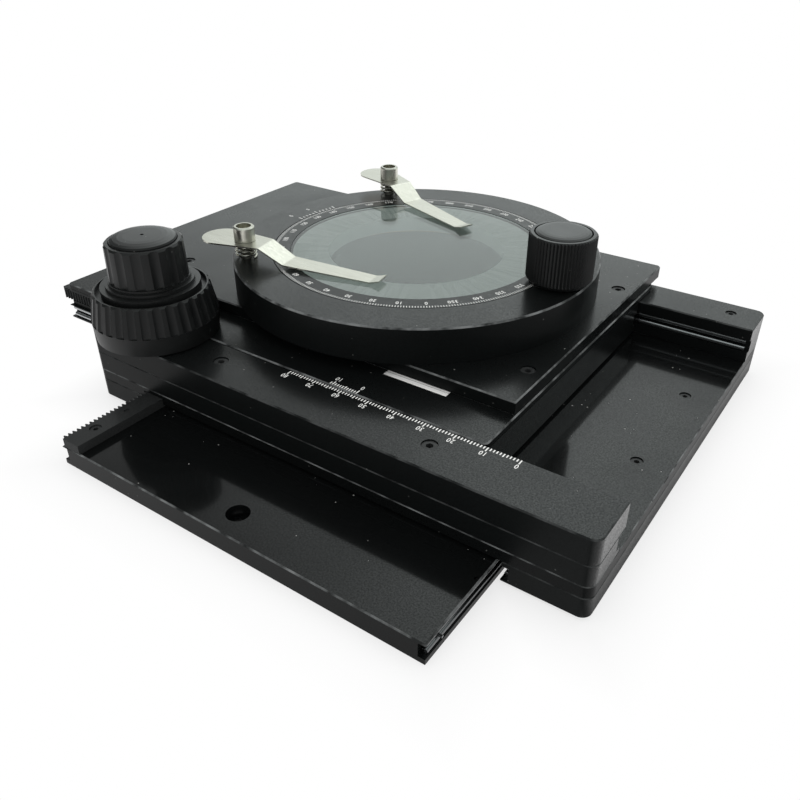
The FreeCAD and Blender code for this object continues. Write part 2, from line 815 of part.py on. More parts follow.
def y_knob_cap():
    z1 = y_knob_z1 + cap_proud
    cap = domed_disc(cap_r, knob_x, knob_y, y_knob_z1 - cap_depth, z1, cap_dome_width, cap_dome_height)
    return cap.cut(disc(cap_dimple_r, knob_x, knob_y, z1 - cap_dimple_depth, z1))


def ring_housing():
    """The round housing: a floor with the light opening, a well for the dial, a pocket for the pinion."""
    profile = [(light_r, top_z1), (ring_r, top_z1), (ring_r, ring_z1 - ring_bevel),
               (ring_r - ring_bevel, ring_z1), (dial_r + dial_gap, ring_z1),
               (dial_r + dial_gap, top_z1 + ring_floor), (light_r, top_z1 + ring_floor)]
    solid = turned(profile, ring_x, ring_y)
    cuts = [disc(turn_pocket_r, turn_x, ring_y, top_z1, flange_z0)]
    cuts.append(disc(turn_bush_r, turn_x, ring_y, flange_z0, ring_z1))
    for x, y, _ in clip_places():
        cuts.append(disc(post_r, x, y, ring_z1 - post_thread, ring_z1))
    return solid.cut(cuts)


def slip_ring():
    z0 = top_z1 + ring_floor
    return tube(light_r + slip_ring_width, light_r, ring_x, ring_y, z0, z0 + slip_ring_thick)


def dial():
    """The graduated dial: a flange level with the housing, a hub below it, a seat for the glass."""
    seat = ring_z1 - glass_sink - glass_thick
    seat_r = glass_r + glass_gap
    profile = [(dial_opening_r, dial_z0), (dial_hub_r, dial_z0), (dial_hub_r, flange_z0),
               (dial_r, flange_z0), (dial_r, ring_z1), (seat_r, ring_z1), (seat_r, seat),
               (dial_opening_r, seat)]
    return turned(profile, ring_x, ring_y)


def dial_gear():
    half_step = 180.0 / gear_teeth
    return gear(ring_x, ring_y, turn_gear_z0, turn_gear_z1, gear_teeth, gear_module, short_addendum,
                half_step, dial_hub_r)


def glass_plate():
    z1 = ring_z1 - glass_sink
    return disc(glass_r, ring_x, ring_y, z1 - glass_thick, z1)


def turn_pinion():
    return gear(turn_x, ring_y, turn_gear_z0, turn_gear_z1 - turn_gear_gap, turn_pinion_teeth,
                gear_module, short_addendum, 180, shaft_r)


def turn_shaft():
    return disc(shaft_r, turn_x, ring_y, top_z1 + turn_shaft_low, turn_knob_z0 + shaft_seat)


def turn_bush():
    return tube(turn_bush_r, shaft_r + shaft_play, turn_x, ring_y, flange_z0, ring_z1 + turn_knob_gap / 2)


def turn_knob():
    """The finely ridged knob of the turntable."""
    seat = turn_knob_z1 - turn_cap_depth
    seat_r = turn_cap_r + turn_cap_gap
    profile = [(0, turn_knob_z0), (turn_foot_r, turn_knob_z0),
               (turn_knob_r, turn_knob_z0 + turn_foot_height), (turn_knob_r, turn_knob_z1 - knob_rim_bevel),
               (turn_knob_r - knob_rim_bevel, turn_knob_z1), (seat_r, turn_knob_z1), (seat_r, seat),
               (0, seat)]
    solid = turned(profile, turn_x, ring_y)
    ridges = []
    for i in range(2 * turn_ridges):
        r = turn_knob_r - turn_ridge_depth * (i % 2)
        a = math.pi * i / turn_ridges
        ridges.append((turn_x + r * math.cos(a), ring_y + r * math.sin(a)))
    solid = solid.common(prism(ridges, turn_knob_z0, turn_knob_z1))
    return solid.cut(disc(shaft_r, turn_x, ring_y, turn_knob_z0, turn_knob_z0 + shaft_seat))


def turn_knob_cap():
    return domed_disc(turn_cap_r, turn_x, ring_y, turn_knob_z1 - turn_cap_depth,
                      turn_knob_z1 + turn_cap_proud, turn_dome_width, turn_dome_height)


def clip_places():
    """Centre of each clip's post and the way its leaf points."""
    places = []
    for post, leaf in zip(post_angles, leaf_angles):
        a = math.radians(post)
        places.append((ring_x + post_circle_r * math.cos(a), ring_y + post_circle_r * math.sin(a), leaf))
    return places


def clip_post(x, y):
    """A stem screwed into the housing, with a hollow head that holds the leaf down."""
    stem = disc(post_r, x, y, ring_z1 - post_thread, head_z0)
    head = disc(head_r, x, y, head_z0, head_z1)
    head = head.makeChamfer(edge_bevel, [head.Edges[0]])
    head = head.cut(disc(head_bore_r, x, y, head_z1 - head_bore_depth, head_z1))
    return stem.fuse(head).removeSplitter()


def leaf(x, y, angle):
    """A flat spring leaf: a round thumb tail, a bend down past the post and a tapering arm."""
    top = leaf_z0 + leaf_thick
    tip_top = ring_z1 + leaf_rest_gap + leaf_thick
    line = [(-tail_reach, top), (bend_reach, top), (foot_reach, tip_top + foot_rise),
            (tip_reach, tip_top), (leaf_reach, tip_top + tip_rise)]
    under = [(s, z - leaf_thick) for s, z in reversed(line)]
    corners = [Vector(s, -2 * tail_r, z) for s, z in line + under]
    solid = Part.Face(Part.makePolygon(corners + corners[:1])).extrude(Vector(0, 4 * tail_r, 0))
    bends = [e for e in solid.Edges if abs(e.Vertexes[0].Point.y - e.Vertexes[-1].Point.y) > tail_r
             and min(abs(e.Vertexes[0].Point.x - s) for s in (bend_reach, foot_reach, tip_reach)) < leaf_play]
    solid = solid.makeFillet(leaf_bend_r, bends)
    centre = tail_r - tail_reach
    start = Vector(centre, tail_r, 0)
    edges = [Part.Arc(start, Vector(-tail_reach, 0, 0), Vector(centre, -tail_r, 0)).toShape()]
    right = [Vector(centre, -tail_r, 0), Vector(bend_reach, -bend_half, 0),
             Vector(foot_reach, -foot_half, 0), Vector(leaf_reach, -tip_half, 0)]
    left = [Vector(leaf_reach, tip_half, 0), Vector(foot_reach, foot_half, 0),
            Vector(bend_reach, bend_half, 0), start]
    walk = right + left
    edges += [Part.LineSegment(a, b).toShape() for a, b in zip(walk, walk[1:])]
    outline = Part.Face(Part.Wire(edges)).extrude(Vector(0, 0, head_z1))
    solid = solid.common(outline).cut(disc(post_r + leaf_hole_play, 0, 0, ring_z1, head_z1))
    solid.rotate(Vector(0, 0, 0), Vector(0, 0, 1), angle)
    solid.translate(Vector(x, y, 0))
    return solid


def tangent_arc(start, corner, end):
    """The arc that leaves start towards corner and reaches end, both the same way from corner."""
    middle = (start + end) * 0.5
    half = (end - start).Length / 2
    rise = (corner - middle).Length
    radius = half * (corner - start).Length / rise
    sagitta = radius - math.sqrt(radius * radius - half * half)
    return Part.Arc(start, middle + (corner - middle) * (sagitta / rise), end).toShape()


def biarc(p0, t0, p1, t1):
    """Two arcs in a row from p0 to p1 that keep the directions t0 and t1."""
    chord = p1 - p0
    both = chord.dot(t0 + t1)
    turn = 2 * (1 - t0.dot(t1))
    reach = (math.sqrt(both * both + turn * chord.dot(chord)) - both) / turn
    c0, c1 = p0 + t0 * reach, p1 - t1 * reach
    joint = (c0 + c1) * 0.5
    return [tangent_arc(p0, c0, joint), tangent_arc(joint, c1, p1)]


def spring(x, y):
    """An open coil spring round a post, its wire swept along quarter turns of a helix."""
    z0 = ring_z1 + spring_wire_r + spring_end_gap
    rise = (spring_space - 2 * spring_wire_r - 2 * spring_end_gap) / (2 * math.pi * spring_turns)

    def at(a):
        point = Vector(x + spring_r * math.cos(a), y + spring_r * math.sin(a), z0 + rise * a)
        way = Vector(-spring_r * math.sin(a), spring_r * math.cos(a), rise)
        return point, way.normalize()

    quarters = math.ceil(4 * spring_turns)
    stops = [at(2 * math.pi * spring_turns * i / quarters) for i in range(quarters + 1)]
    edges = []
    for (p0, t0), (p1, t1) in zip(stops, stops[1:]):
        edges += biarc(p0, t0, p1, t1)
    path = Part.Wire(edges)
    ring = Part.Wire([Part.Circle(stops[0][0], stops[0][1], spring_wire_r).toShape()])
    print("spring: least gap to itself", round(least_gap(edges), 3), "mm")
    return path.makePipeShell([ring], True, False)


def least_gap(edges):
    """The least gap between two turns of a wire, measured on points along its middle line."""
    points = [point for edge in edges for point in edge.discretize(gap_points)[:-1]]
    half_turn = round(len(points) / (2 * spring_turns))
    between = min((a - b).Length for i, a in enumerate(points) for b in points[i + half_turn:])
    return between - 2 * spring_wire_r


def y_cage_span():
    return cage_span((base_y0, base_y1), (car_y0, car_y1), -y_travel_front, y_travel_rear)


def x_cage_span():
    return cage_span((front_guide_x0, car_x1), (slide_x0, slide_x1), -x_travel_left, x_travel_right)


def pieces():
    """Every node of the stage with the solids in it."""
    y_span, x_span = y_cage_span(), x_cage_span()
    found = {
        "base_plate": [base_plate()],
        "y_rack": [y_rack()],
        "y_rack_screws": y_rack_screws(),
        "base_rods": [],
        "base_stop_screws": [stop_screw(side, y) for side in (-1, 1) for y in stop_screw_rows()],
        "y_cages": [cage("y", side * y_guide_x, y_guide_z, y_span) for side in (-1, 1)],
        "y_balls": [],
        "side_rail_left": [side_rail(-1)],
        "side_rail_right": [side_rail(1)],
        "side_rail_rods": [],
        "floor_plate": [floor_plate()],
        "front_rail": [front_rail()],
        "scale_bar": [scale_bar()],
        "rear_rail": [rear_rail()],
        "rail_rods": guide_rods("x", x_guide_front_y, -1, x_guide_front_z, front_guide_x0, car_x1)
        + guide_rods("x", x_guide_rear_y, 1, x_guide_rear_z, car_x0, car_x1),
        "scale_bar_screws": [cap_screw(*place) for place in bar_screws()],
        "rear_rail_screws": [cap_screw(*place) for place in rail_screws()[0]],
        "floor_screws": [cap_screw(*place) for place in rail_screws()[1]],
        "upper_shaft_bush": [upper_bush()],
        "lower_shaft_bush": [lower_bush()],
        "x_cages": [cage("x", x_guide_front_y, x_guide_front_z, x_span),
                    cage("x", x_guide_rear_y, x_guide_rear_z, x_span)],
        "x_balls": balls("x", x_guide_front_y, x_guide_front_z, x_span)
        + balls("x", x_guide_rear_y, x_guide_rear_z, x_span),
        "slide_body": [slide_body()],
        "slide_rods": guide_rods("x", x_guide_front_y, 1, x_guide_front_z, slide_x0, slide_x1)
        + guide_rods("x", x_guide_rear_y, -1, x_guide_rear_z, slide_x0, slide_x1),
        "vernier_plate": [vernier_plate()],
        "bright_strip": [bright_strip()],
        "top_plate": [top_plate()],
        "top_plate_screws": [cap_screw(*place) for place in top_screws()],
        "x_rack": [x_rack()],
        "x_rack_screws": x_rack_screws(),
        "x_pinion": [x_pinion()],
        "tube_shaft": [tube_shaft()],
        "x_knob": [x_knob()],
        "y_pinion": [y_pinion()],
        "inner_shaft": [inner_shaft()],
        "y_knob": [y_knob()],
        "y_knob_cap": [y_knob_cap()],
        "ring_housing": [ring_housing()],
        "slip_ring": [slip_ring()],
        "dial": [dial()],
        "dial_gear": [dial_gear()],
        "glass_plate": [glass_plate()],
        "turn_pinion": [turn_pinion()],
        "turn_shaft": [turn_shaft()],
        "turn_bush": [turn_bush()],
        "turn_knob": [turn_knob()],
        "turn_knob_cap": [turn_knob_cap()],
    }
    for side in (-1, 1):
        plane = side * y_guide_x
        found["base_rods"] += guide_rods("y", plane, -side, y_guide_z, base_y0, base_y1)
        found["side_rail_rods"] += guide_rods("y", plane, side, y_guide_z, car_y0, car_y1)
        found["y_balls"] += balls("y", plane, y_guide_z, y_span)
    for name, (x, y, angle) in zip(("left", "rear"), clip_places()):
        found["clip_post_" + name] = [clip_post(x, y)]
        found["clip_spring_" + name] = [spring(x, y)]
        found["clip_leaf_" + name] = [leaf(x, y, angle)]
    return found


def main():
    os.makedirs("parts", exist_ok=True)
    for name, solids in pieces().items():
        shape = solids[0] if len(solids) == 1 else Part.makeCompound(solids)
        shape.exportStep(os.path.join("parts", name + ".step"))
    print("knob axis", round(knob_x, 3), round(knob_y, 3), "turning knob", round(turn_x, 3), ring_y)


main()
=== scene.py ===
import math

import bmesh
import bpy
from mathutils import Matrix, Vector


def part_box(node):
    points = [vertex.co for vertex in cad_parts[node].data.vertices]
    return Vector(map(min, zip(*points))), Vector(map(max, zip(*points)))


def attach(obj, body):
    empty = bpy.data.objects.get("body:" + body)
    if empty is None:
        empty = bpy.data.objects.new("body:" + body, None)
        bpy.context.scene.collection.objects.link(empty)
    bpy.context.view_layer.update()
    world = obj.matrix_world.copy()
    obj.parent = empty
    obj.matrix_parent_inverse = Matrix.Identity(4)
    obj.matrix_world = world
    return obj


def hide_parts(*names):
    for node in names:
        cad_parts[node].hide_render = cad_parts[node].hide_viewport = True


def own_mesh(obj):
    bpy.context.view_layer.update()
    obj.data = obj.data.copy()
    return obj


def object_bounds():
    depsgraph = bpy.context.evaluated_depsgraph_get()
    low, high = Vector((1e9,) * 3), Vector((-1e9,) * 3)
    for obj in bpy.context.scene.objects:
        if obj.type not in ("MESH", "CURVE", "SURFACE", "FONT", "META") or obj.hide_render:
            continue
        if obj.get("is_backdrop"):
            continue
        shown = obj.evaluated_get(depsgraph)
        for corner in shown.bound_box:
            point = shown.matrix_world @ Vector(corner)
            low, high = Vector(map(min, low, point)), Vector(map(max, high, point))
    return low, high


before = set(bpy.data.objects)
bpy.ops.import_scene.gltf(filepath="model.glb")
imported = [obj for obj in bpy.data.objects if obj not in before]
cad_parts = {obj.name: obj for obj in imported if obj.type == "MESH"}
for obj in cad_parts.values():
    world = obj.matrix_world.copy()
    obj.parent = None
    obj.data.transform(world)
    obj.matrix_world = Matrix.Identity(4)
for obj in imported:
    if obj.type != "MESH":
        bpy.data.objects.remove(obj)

bl_info = {
    "name": "Microscope Stage Dressing",
    "version": (1, 0, 0),
    "blender": (4, 5, 0),
    "location": "View3D > Sidebar > Stage",
    "description": "Finishes, engraved scales and studio for a mechanical microscope stage",
    "category": "Object",
}

MM = 0.001
SENSOR_MM = 36.0

# Figures: their height in a font of size 1, their spacing, and the steps of a curve
FIGURE_SHARE = 0.73
FIGURE_SPACE = 1.15
FIGURE_STEPS = 3

# Where the mirrored surroundings change, in the parts of a direction: from the dim front to the
# bright rear, and up into the patch that is brighter still, which ends towards the left
REAR_FADE = (0.41, 0.68)
OVERHEAD_FADE = (0.5, 0.65)
LEFT_FADE = (-0.55, -0.3)

# The floor's darker and lighter tone
FLOOR_TONES = ((0.86, 0.86, 0.86, 1.0), (0.9, 0.9, 0.9, 1.0))

# Places read from the frame
BAR_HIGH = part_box("scale_bar")[1]
VERNIER_LOW, VERNIER_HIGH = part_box("vernier_plate")
DIAL_LOW, DIAL_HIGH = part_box("dial")
DIAL_CENTRE = (DIAL_LOW + DIAL_HIGH) / 2
DIAL_R = (DIAL_HIGH.x - DIAL_LOW.x) / 2


def length(name, description, default, low=0.0, high=1.0):
    return bpy.props.FloatProperty(name=name, description=description, default=default, min=low, max=high,
                                   subtype="DISTANCE", unit="LENGTH", precision=5)


def colour(name, description, default):
    return bpy.props.FloatVectorProperty(name=name, description=description, default=default, size=3,
                                         min=0.0, max=1.0, subtype="COLOR")


def share(name, description, default):
    return bpy.props.FloatProperty(name=name, description=description, default=default, min=0.0, max=1.0,
                                   subtype="FACTOR")


def turn(name, description, degrees):
    return bpy.props.FloatProperty(name=name, description=description, default=math.radians(degrees),
                                   subtype="ANGLE", unit="ROTATION")


def location(name, description, default):
    return bpy.props.FloatVectorProperty(name=name, description=description, default=default,
                                         subtype="TRANSLATION", unit="LENGTH")


def power(name, description, default):
    return bpy.props.FloatProperty(name=name, description=description, default=default, min=0.0, max=100.0,
                                   subtype="POWER", unit="POWER")


def count(name, description, default):
    return bpy.props.IntProperty(name=name, description=description, default=default, min=2, max=150)


class StageFinishes(bpy.types.PropertyGroup):
    """Colours, edge wear and painted light of the stage's surfaces."""

    anodised: colour("Anodised black", "Bars, rails, slides and the turntable housing",
                     (0.0036, 0.0042, 0.0042))
    enamel: colour("Enamel black", "The glossy tops of the wide plates", (0.003, 0.0034, 0.0034))
    plastic: colour("Knob plastic", "Moulded knobs and their caps", (0.0045, 0.005, 0.005))
    black_oxide: colour("Black oxide", "Racks and screws", (0.018, 0.019, 0.019))
    nickel: colour("Nickel", "Specimen clips and their posts", (0.72, 0.71, 0.63))
    steel: colour("Ground steel", "Guide rods of the left-right slide, balls and shafts", (0.45, 0.46, 0.47))
    # A darker copy of the ground steel, at 0.4 of its brightness, for the rods of the front-back slide.
    oiled: colour("Oiled steel", "Guide rods of the front-back slide, dark with oil", (0.18, 0.184, 0.188))
    brass: colour("Brass", "Bushes, cages and gears", (0.63, 0.45, 0.2))
    # Painted light under the glass: the pale seat colour and the glow of the seat and of the opening's wall stand
    # in for light that the glass carries there.
    seat: colour("Glass seat", "The bare seat that shows through the rim of the glass", (0.3, 0.32, 0.31))
    seat_light: colour("Seat light", "Light that the glass carries to its seat", (0.2, 0.224, 0.214))
    wall_light: share("Wall light", "Share of the seat's light that reaches the wall of the opening", 0.33)
    seat_edge: length("Seat edge", "Dark margin between the glass's edge and its paler seat", 0.7 * MM)
    glass: colour("Glass", "The clear insert of the turntable", (0.58, 0.65, 0.62))
    marking: colour("Marking white", "Filled engraving of the scales and figures", (0.97, 0.98, 0.95))
    strip: colour("White strip", "The strip let into the moving plate", (0.97, 0.97, 0.95))
    strip_line: length("Strip line", "Width of the grey line along the strip's middle", 0.24 * MM)
    # Pale colour of the upward bevels: partly bare metal from wear, partly a painted highlight.
    worn_edge: colour("Worn edge", "Bare metal that shows along rubbed edges", (0.2, 0.21, 0.21))
    dust: colour("Dust", "Pale specks that lie on the black surfaces", (0.42, 0.42, 0.4))
    glass_dust: colour("Glass dust", "Specks on the glass", (0.8, 0.8, 0.78))
    dust_density: share("Dust density", "Share of the speck cells that hold a speck", 0.2)
    # Also sets how strongly the painted highlight shows on the upward bevels.
    wear: share("Edge wear", "How much of the edges is rubbed", 0.8)
    spring_press: length("Spring press", "How far a lifted clip presses its spring down", 0.85 * MM)


class StageMarks(bpy.types.PropertyGroup):
    """Sizes of the engraved scales and figures."""

    lift: length("Lift", "Height of the filled engraving over its surface", 0.02 * MM)
    line: length("Line width", "Width of a scale line", 0.37 * MM)
    figure: length("Figure height", "Height of a figure", 1.9 * MM)
    weight: length("Figure weight", "How much a figure's strokes are thickened on each side", 0.022 * MM)
    narrow: share("Figure width", "Width of a figure as a share of the font's own", 0.8)
    edge: length("Edge margin", "Bare margin between a plate's edge and its lines", 0.42 * MM)
    short: length("Short line", "Length of a unit line", 1.15 * MM)
    middle: length("Middle line", "Length of a line at each fifth unit", 1.5 * MM)
    long: length("Long line", "Length of a line at each tenth unit", 1.9 * MM)
    scale_zero: length("Scale zero", "Distance of the travel scale's zero from the bar's right end",
                       BAR_HIGH.x - 64.2 * MM)
    scale_lines: count("Scale lines", "Lines of the travel scale, which are 1 mm apart", 81)
    scale_figures: length("Scale figures", "Distance of the figures' middle from the bar's inner edge",
                          3.45 * MM)
    vernier_zero: length("Vernier zero", "Distance of the vernier's zero from the plate's right end",
                         VERNIER_HIGH.x - 8.5 * MM)
    vernier_lines: count("Vernier lines", "Lines of the vernier", 12)
    vernier_step: length("Vernier step", "Distance between two lines of the vernier", 0.9 * MM)
    vernier_figures: length("Vernier figures", "Distance of the figures' middle from the plate's front edge",
                            3.9 * MM)
    dial_zero: turn("Dial zero", "Direction of the dial's zero at rest", -52.3)
    dial_edge: length("Dial margin", "Bare margin between the dial's edge and its lines", 0.21 * MM)
    dial_line: length("Dial line", "Length of the dial's degree lines", 1.15 * MM)
    dial_width: length("Dial line width", "Width of the dial's degree lines", 0.22 * MM)
    dial_figures: length("Dial figures", "Distance of the figures' middle from the dial's edge", 3.35 * MM)
    index_zero: turn("Index zero", "Direction of the housing's index zero", 182.6)
    index_lines: count("Index lines", "Lines of the index", 11)
    index_step: turn("Index step", "Angle between two lines of the index", 1.9)
    index_edge: length("Index margin", "Bare margin between the dial's edge and the index lines", 0.672 * MM)
    index_figures: length("Index figures", "Distance of the index figures' middle from the dial's edge",
                          6.3 * MM)


class StageStudio(bpy.types.PropertyGroup):
    """Camera, floor, surroundings and lamps."""

    camera_place: location("Camera place", "Where the camera stands", (0.1324, -0.2089, 0.15036))
    azimuth: turn("Azimuth", "Camera's turn to the left from the rear direction", 35.12)
    elevation: turn("Elevation", "Camera's tilt below the horizon", 32.65)
    roll: turn("Roll", "Camera's turn about its own axis", -0.10)
    lens: bpy.props.FloatProperty(name="Lens", description="Focal length on a 36 mm sensor", default=35.36,
                                  min=10.0, max=200.0, subtype="DISTANCE_CAMERA")
    clip_start: length("Clip start", "Distance from which the camera sees", 0.01)
    floor_size: length("Floor size", "Side of the square floor", 4.0, 0.5, 10.0)
    floor_gap: length("Floor gap", "Distance of the floor below the stage", 0.05 * MM)
    shadow_reach: length("Shadow reach", "Width of the strip round the stage that keeps the shadow", 0.02)
    shadow_light: share("Shadow light", "Share of plain white in the floor right beside the stage", 0.7)
    sky: bpy.props.FloatProperty(name="Sky light", description="Strength of the even light from all round",
                                 default=1.0, min=0.0, max=2.0)
    gloss_tint: colour("Mirrored tint", "Tint of the surroundings in mirrors", (0.92, 1.0, 0.985))
    front_gloss: share("Front reflections", "Brightness of the surroundings that low front faces mirror", 0.1)
    rear_gloss: share("Rear reflections", "Brightness of the surroundings behind the stage in mirrors", 0.8)
    top_gloss: share("Overhead reflections", "Added brightness above the stage's right half in mirrors", 0.6)
    # A painted shadow on the floor beside the carriage, seen only in mirrors.
    contact_start: length("Contact start", "Width of the darkest floor beside the carriage", 0.75 * MM)
    contact: length("Contact shade", "Width of the shaded floor that the carriage's side mirrors",
                    7.5 * MM)
    contact_light: share("Contact light", "Brightness of the darkest floor in mirrors", 0.12)
    key: power("Key lamp", "Power of the large lamp behind the stage", 2.2)
    key_place: location("Key place", "Where the large lamp hangs", (-0.5, 0.7, 1.0))
    key_size: length("Key size", "Side of the large lamp", 1.6, 0.1, 5.0)
    fill: power("Fill lamp", "Power of the lamp at the front right", 0.8)
    fill_place: location("Fill place", "Where the lamp at the front right hangs", (0.7, -0.9, 1.1))
    fill_size: length("Fill size", "Side of the lamp at the front right", 1.4, 0.1, 5.0)


def add(tree, kind, inputs=None, **settings):
    """A node in a tree, with its settings and with its inputs linked or filled."""
    made = tree.nodes.new(kind)
    for name, value in settings.items():
        setattr(made, name, value)
    for name, value in (inputs or {}).items():
        if isinstance(value, bpy.types.NodeSocket):
            tree.links.new(value, made.inputs[name])
        else:
            made.inputs[name].default_value = value
    return made


def maths(tree, operation, first, second=0.0):
    """A number made from one or two numbers."""
    return add(tree, "ShaderNodeMath", {0: first, 1: second}, operation=operation).outputs[0]


def product(tree, first, *others):
    """Numbers multiplied, from the left."""
    for other in others:
        first = maths(tree, "MULTIPLY", first, other)
    return first


def ramp(tree, value, low, high, start=0.0, end=1.0):
    """A number that goes from start to end while the value goes from low to high."""
    return add(tree, "ShaderNodeMapRange", {"Value": value, "From Min": low, "From Max": high,
                                            "To Min": start, "To Max": end}, clamp=True).outputs["Result"]


def between(tree, factor, first, second):
    """A number between two numbers."""
    return ramp(tree, factor, 0.0, 1.0, first, second)


def contrast(tree, noise, half, start=0.0, end=1.0):
    """A noise's number, spread from half a width below its middle to half above."""
    return ramp(tree, noise.outputs["Fac"], 0.5 - half, 0.5 + half, start, end)


def blend(tree, factor, first, second):
    """A colour between two colours."""
    return add(tree, "ShaderNodeMix", {0: factor, 6: first, 7: second}, data_type="RGBA").outputs[2]


def rgba(tint, factor=1.0):
    """A colour made brighter or dimmer, with its alpha."""
    return (*(factor * part for part in tint), 1.0)


def new_group(name, inputs, outputs):
    """An empty effect: its tree, its inputs with their defaults, and its outputs, which are numbers."""
    tree = bpy.data.node_groups.new(name, "ShaderNodeTree")
    for label, value in inputs.items():
        kind = "NodeSocketFloat" if isinstance(value, float) else "NodeSocketVector"
        tree.interface.new_socket(label, in_out="INPUT", socket_type=kind).default_value = value
    for label in outputs:
        tree.interface.new_socket(label, in_out="OUTPUT", socket_type="NodeSocketFloat")
    return tree, tree.nodes.new("NodeGroupInput").outputs, tree.nodes.new("NodeGroupOutput").inputs


def place_of(tree):
    """The place on the part, in metres."""
    return add(tree, "ShaderNodeTexCoord").outputs["Object"]


def parts_of(tree, vector):
    """A vector's parts X, Y and Z."""
    return add(tree, "ShaderNodeSeparateXYZ", {"Vector": vector}).outputs


def upward(tree):
    """How far a face looks up."""
    return parts_of(tree, add(tree, "ShaderNodeNewGeometry").outputs["Normal"])["Z"]


def radius_from(tree, axis):
    """Distance from an upright axis."""
    offset = add(tree, "ShaderNodeVectorMath", {0: place_of(tree), 1: axis}, operation="SUBTRACT").outputs[0]
    level = add(tree, "ShaderNodeVectorMath", {0: offset, 1: (1, 1, 0)}, operation="MULTIPLY").outputs[0]
    return add(tree, "ShaderNodeVectorMath", {0: level}, operation="LENGTH").outputs["Value"]


def grain_group():
    """Fine surface grain: a tone for colour and roughness and a height for the bump."""
    tree, given, out = new_group("stage_grain", {"Scale": 900.0, "Patch Scale": 30.0},
                                 ("Tone", "Patch", "Height"))
    place = place_of(tree)
    fine = add(tree, "ShaderNodeTexNoise", {"Vector": place, "Scale": given["Scale"], "Detail": 4.0})
    coarse = add(tree, "ShaderNodeTexNoise", {"Vector": place, "Scale": given["Patch Scale"],
                                              "Detail": 5.0, "Roughness": 0.6})
    tree.links.new(fine.outputs["Fac"], out["Height"])
    tree.links.new(contrast(tree, fine, 0.2), out["Tone"])
    tree.links.new(contrast(tree, coarse, 0.18), out["Patch"])


def dust_group():
    """Sparse round specks, each in its own cell, fainter on upright faces."""
    tree, given, out = new_group("stage_dust", {"Scale": 420.0, "Density": 0.1, "Speck": 0.1}, ("Mask",))
    place = place_of(tree)
    cells = add(tree, "ShaderNodeTexVoronoi", {"Vector": place, "Scale": given["Scale"]})
    chance = add(tree, "ShaderNodeSeparateColor", {"Color": cells.outputs["Color"]})
    chosen = maths(tree, "LESS_THAN", chance.outputs["Red"], given["Density"])
    radius = product(tree, given["Speck"], between(tree, chance.outputs["Green"], 0.35, 1.0))
    inside = maths(tree, "LESS_THAN", cells.outputs["Distance"], radius)
    strength = between(tree, chance.outputs["Blue"], 0.25, 1.0)
    level = ramp(tree, upward(tree), 0.5, 0.9, 0.25, 1.0)
    tree.links.new(product(tree, chosen, inside, strength, level), out["Mask"])


def wear_group():
    """Rubbed bevels with a painted highlight: where the surface leans away from all three axes and looks up,
    broken up by noise.
    """
    tree, given, out = new_group("stage_wear", {"Amount": 0.5}, ("Mask",))
    coordinates = add(tree, "ShaderNodeTexCoord")
    lean = add(tree, "ShaderNodeVectorMath", {0: coordinates.outputs["Normal"]}, operation="ABSOLUTE")
    parts = parts_of(tree, lean.outputs[0])
    largest = maths(tree, "MAXIMUM", maths(tree, "MAXIMUM", parts["X"], parts["Y"]), parts["Z"])
    bevel = ramp(tree, largest, 0.93, 0.8)
    # Only upward bevels get the pale colour: a painted highlight where they catch the light, on top of the wear.
    leaning_up = ramp(tree, parts["Z"], 0.15, 0.4)
    noise = add(tree, "ShaderNodeTexNoise", {"Vector": coordinates.outputs["Object"], "Scale": 160.0,
                                             "Detail": 6.0})
    rubbed = contrast(tree, noise, -0.12, 0.1, 1.0)
    tree.links.new(product(tree, bevel, leaning_up, rubbed, given["Amount"]), out["Mask"])


def turned_group():
    """Fine rings round an upright axis, as a turning tool leaves them."""
    tree, given, out = new_group("stage_turned", {"Centre": (0.0, 0.0, 0.0), "Rings per Metre": 9000.0},
                                 ("Tone", "Height"))
    turns = product(tree, radius_from(tree, given["Centre"]), given["Rings per Metre"])
    rings = add(tree, "ShaderNodeCombineXYZ", {"X": turns})
    noise = add(tree, "ShaderNodeTexNoise", {"Vector": rings.outputs[0], "Scale": 1.0, "Detail": 3.0})
    tree.links.new(contrast(tree, noise, 0.2), out["Tone"])
    tree.links.new(noise.outputs["Fac"], out["Height"])


def brushed_group():
    """Long fine scratches along one axis of the part."""
    tree, given, out = new_group("stage_brushed", {"Stretch": (60.0, 2500.0, 2500.0),
                                                   "Turn": (0.0, 0.0, 0.0)}, ("Tone", "Height"))
    moved = add(tree, "ShaderNodeMapping", {"Vector": place_of(tree), "Rotation": given["Turn"],
                                            "Scale": given["Stretch"]})
    noise = add(tree, "ShaderNodeTexNoise", {"Vector": moved.outputs[0], "Scale": 1.0, "Detail": 4.0})
    tree.links.new(contrast(tree, noise, 0.2), out["Tone"])
    tree.links.new(noise.outputs["Fac"], out["Height"])


def tops_group():
    """The faces that look up, polished, with the soft patches left by wiping, and the right ends."""
    tree, given, out = new_group("stage_tops", {"Right Ends": 0.0}, ("Mask",))
    coordinates = add(tree, "ShaderNodeTexCoord")
    parts = parts_of(tree, coordinates.outputs["Normal"])
    ends = product(tree, ramp(tree, parts["X"], 0.3, 0.95), given["Right Ends"])
    level = maths(tree, "MAXIMUM", ramp(tree, parts["Z"], 0.66, 0.9), ends)
    noise = add(tree, "ShaderNodeTexNoise", {"Vector": coordinates.outputs["Object"], "Scale": 22.0,
                                             "Detail": 4.0})
    patches = contrast(tree, noise, 0.1, 0.8, 1.0)
    tree.links.new(product(tree, level, patches), out["Mask"])


EFFECTS = {"grain": grain_group, "dust": dust_group, "wear": wear_group, "turned": turned_group,
           "brushed": brushed_group, "tops": tops_group}


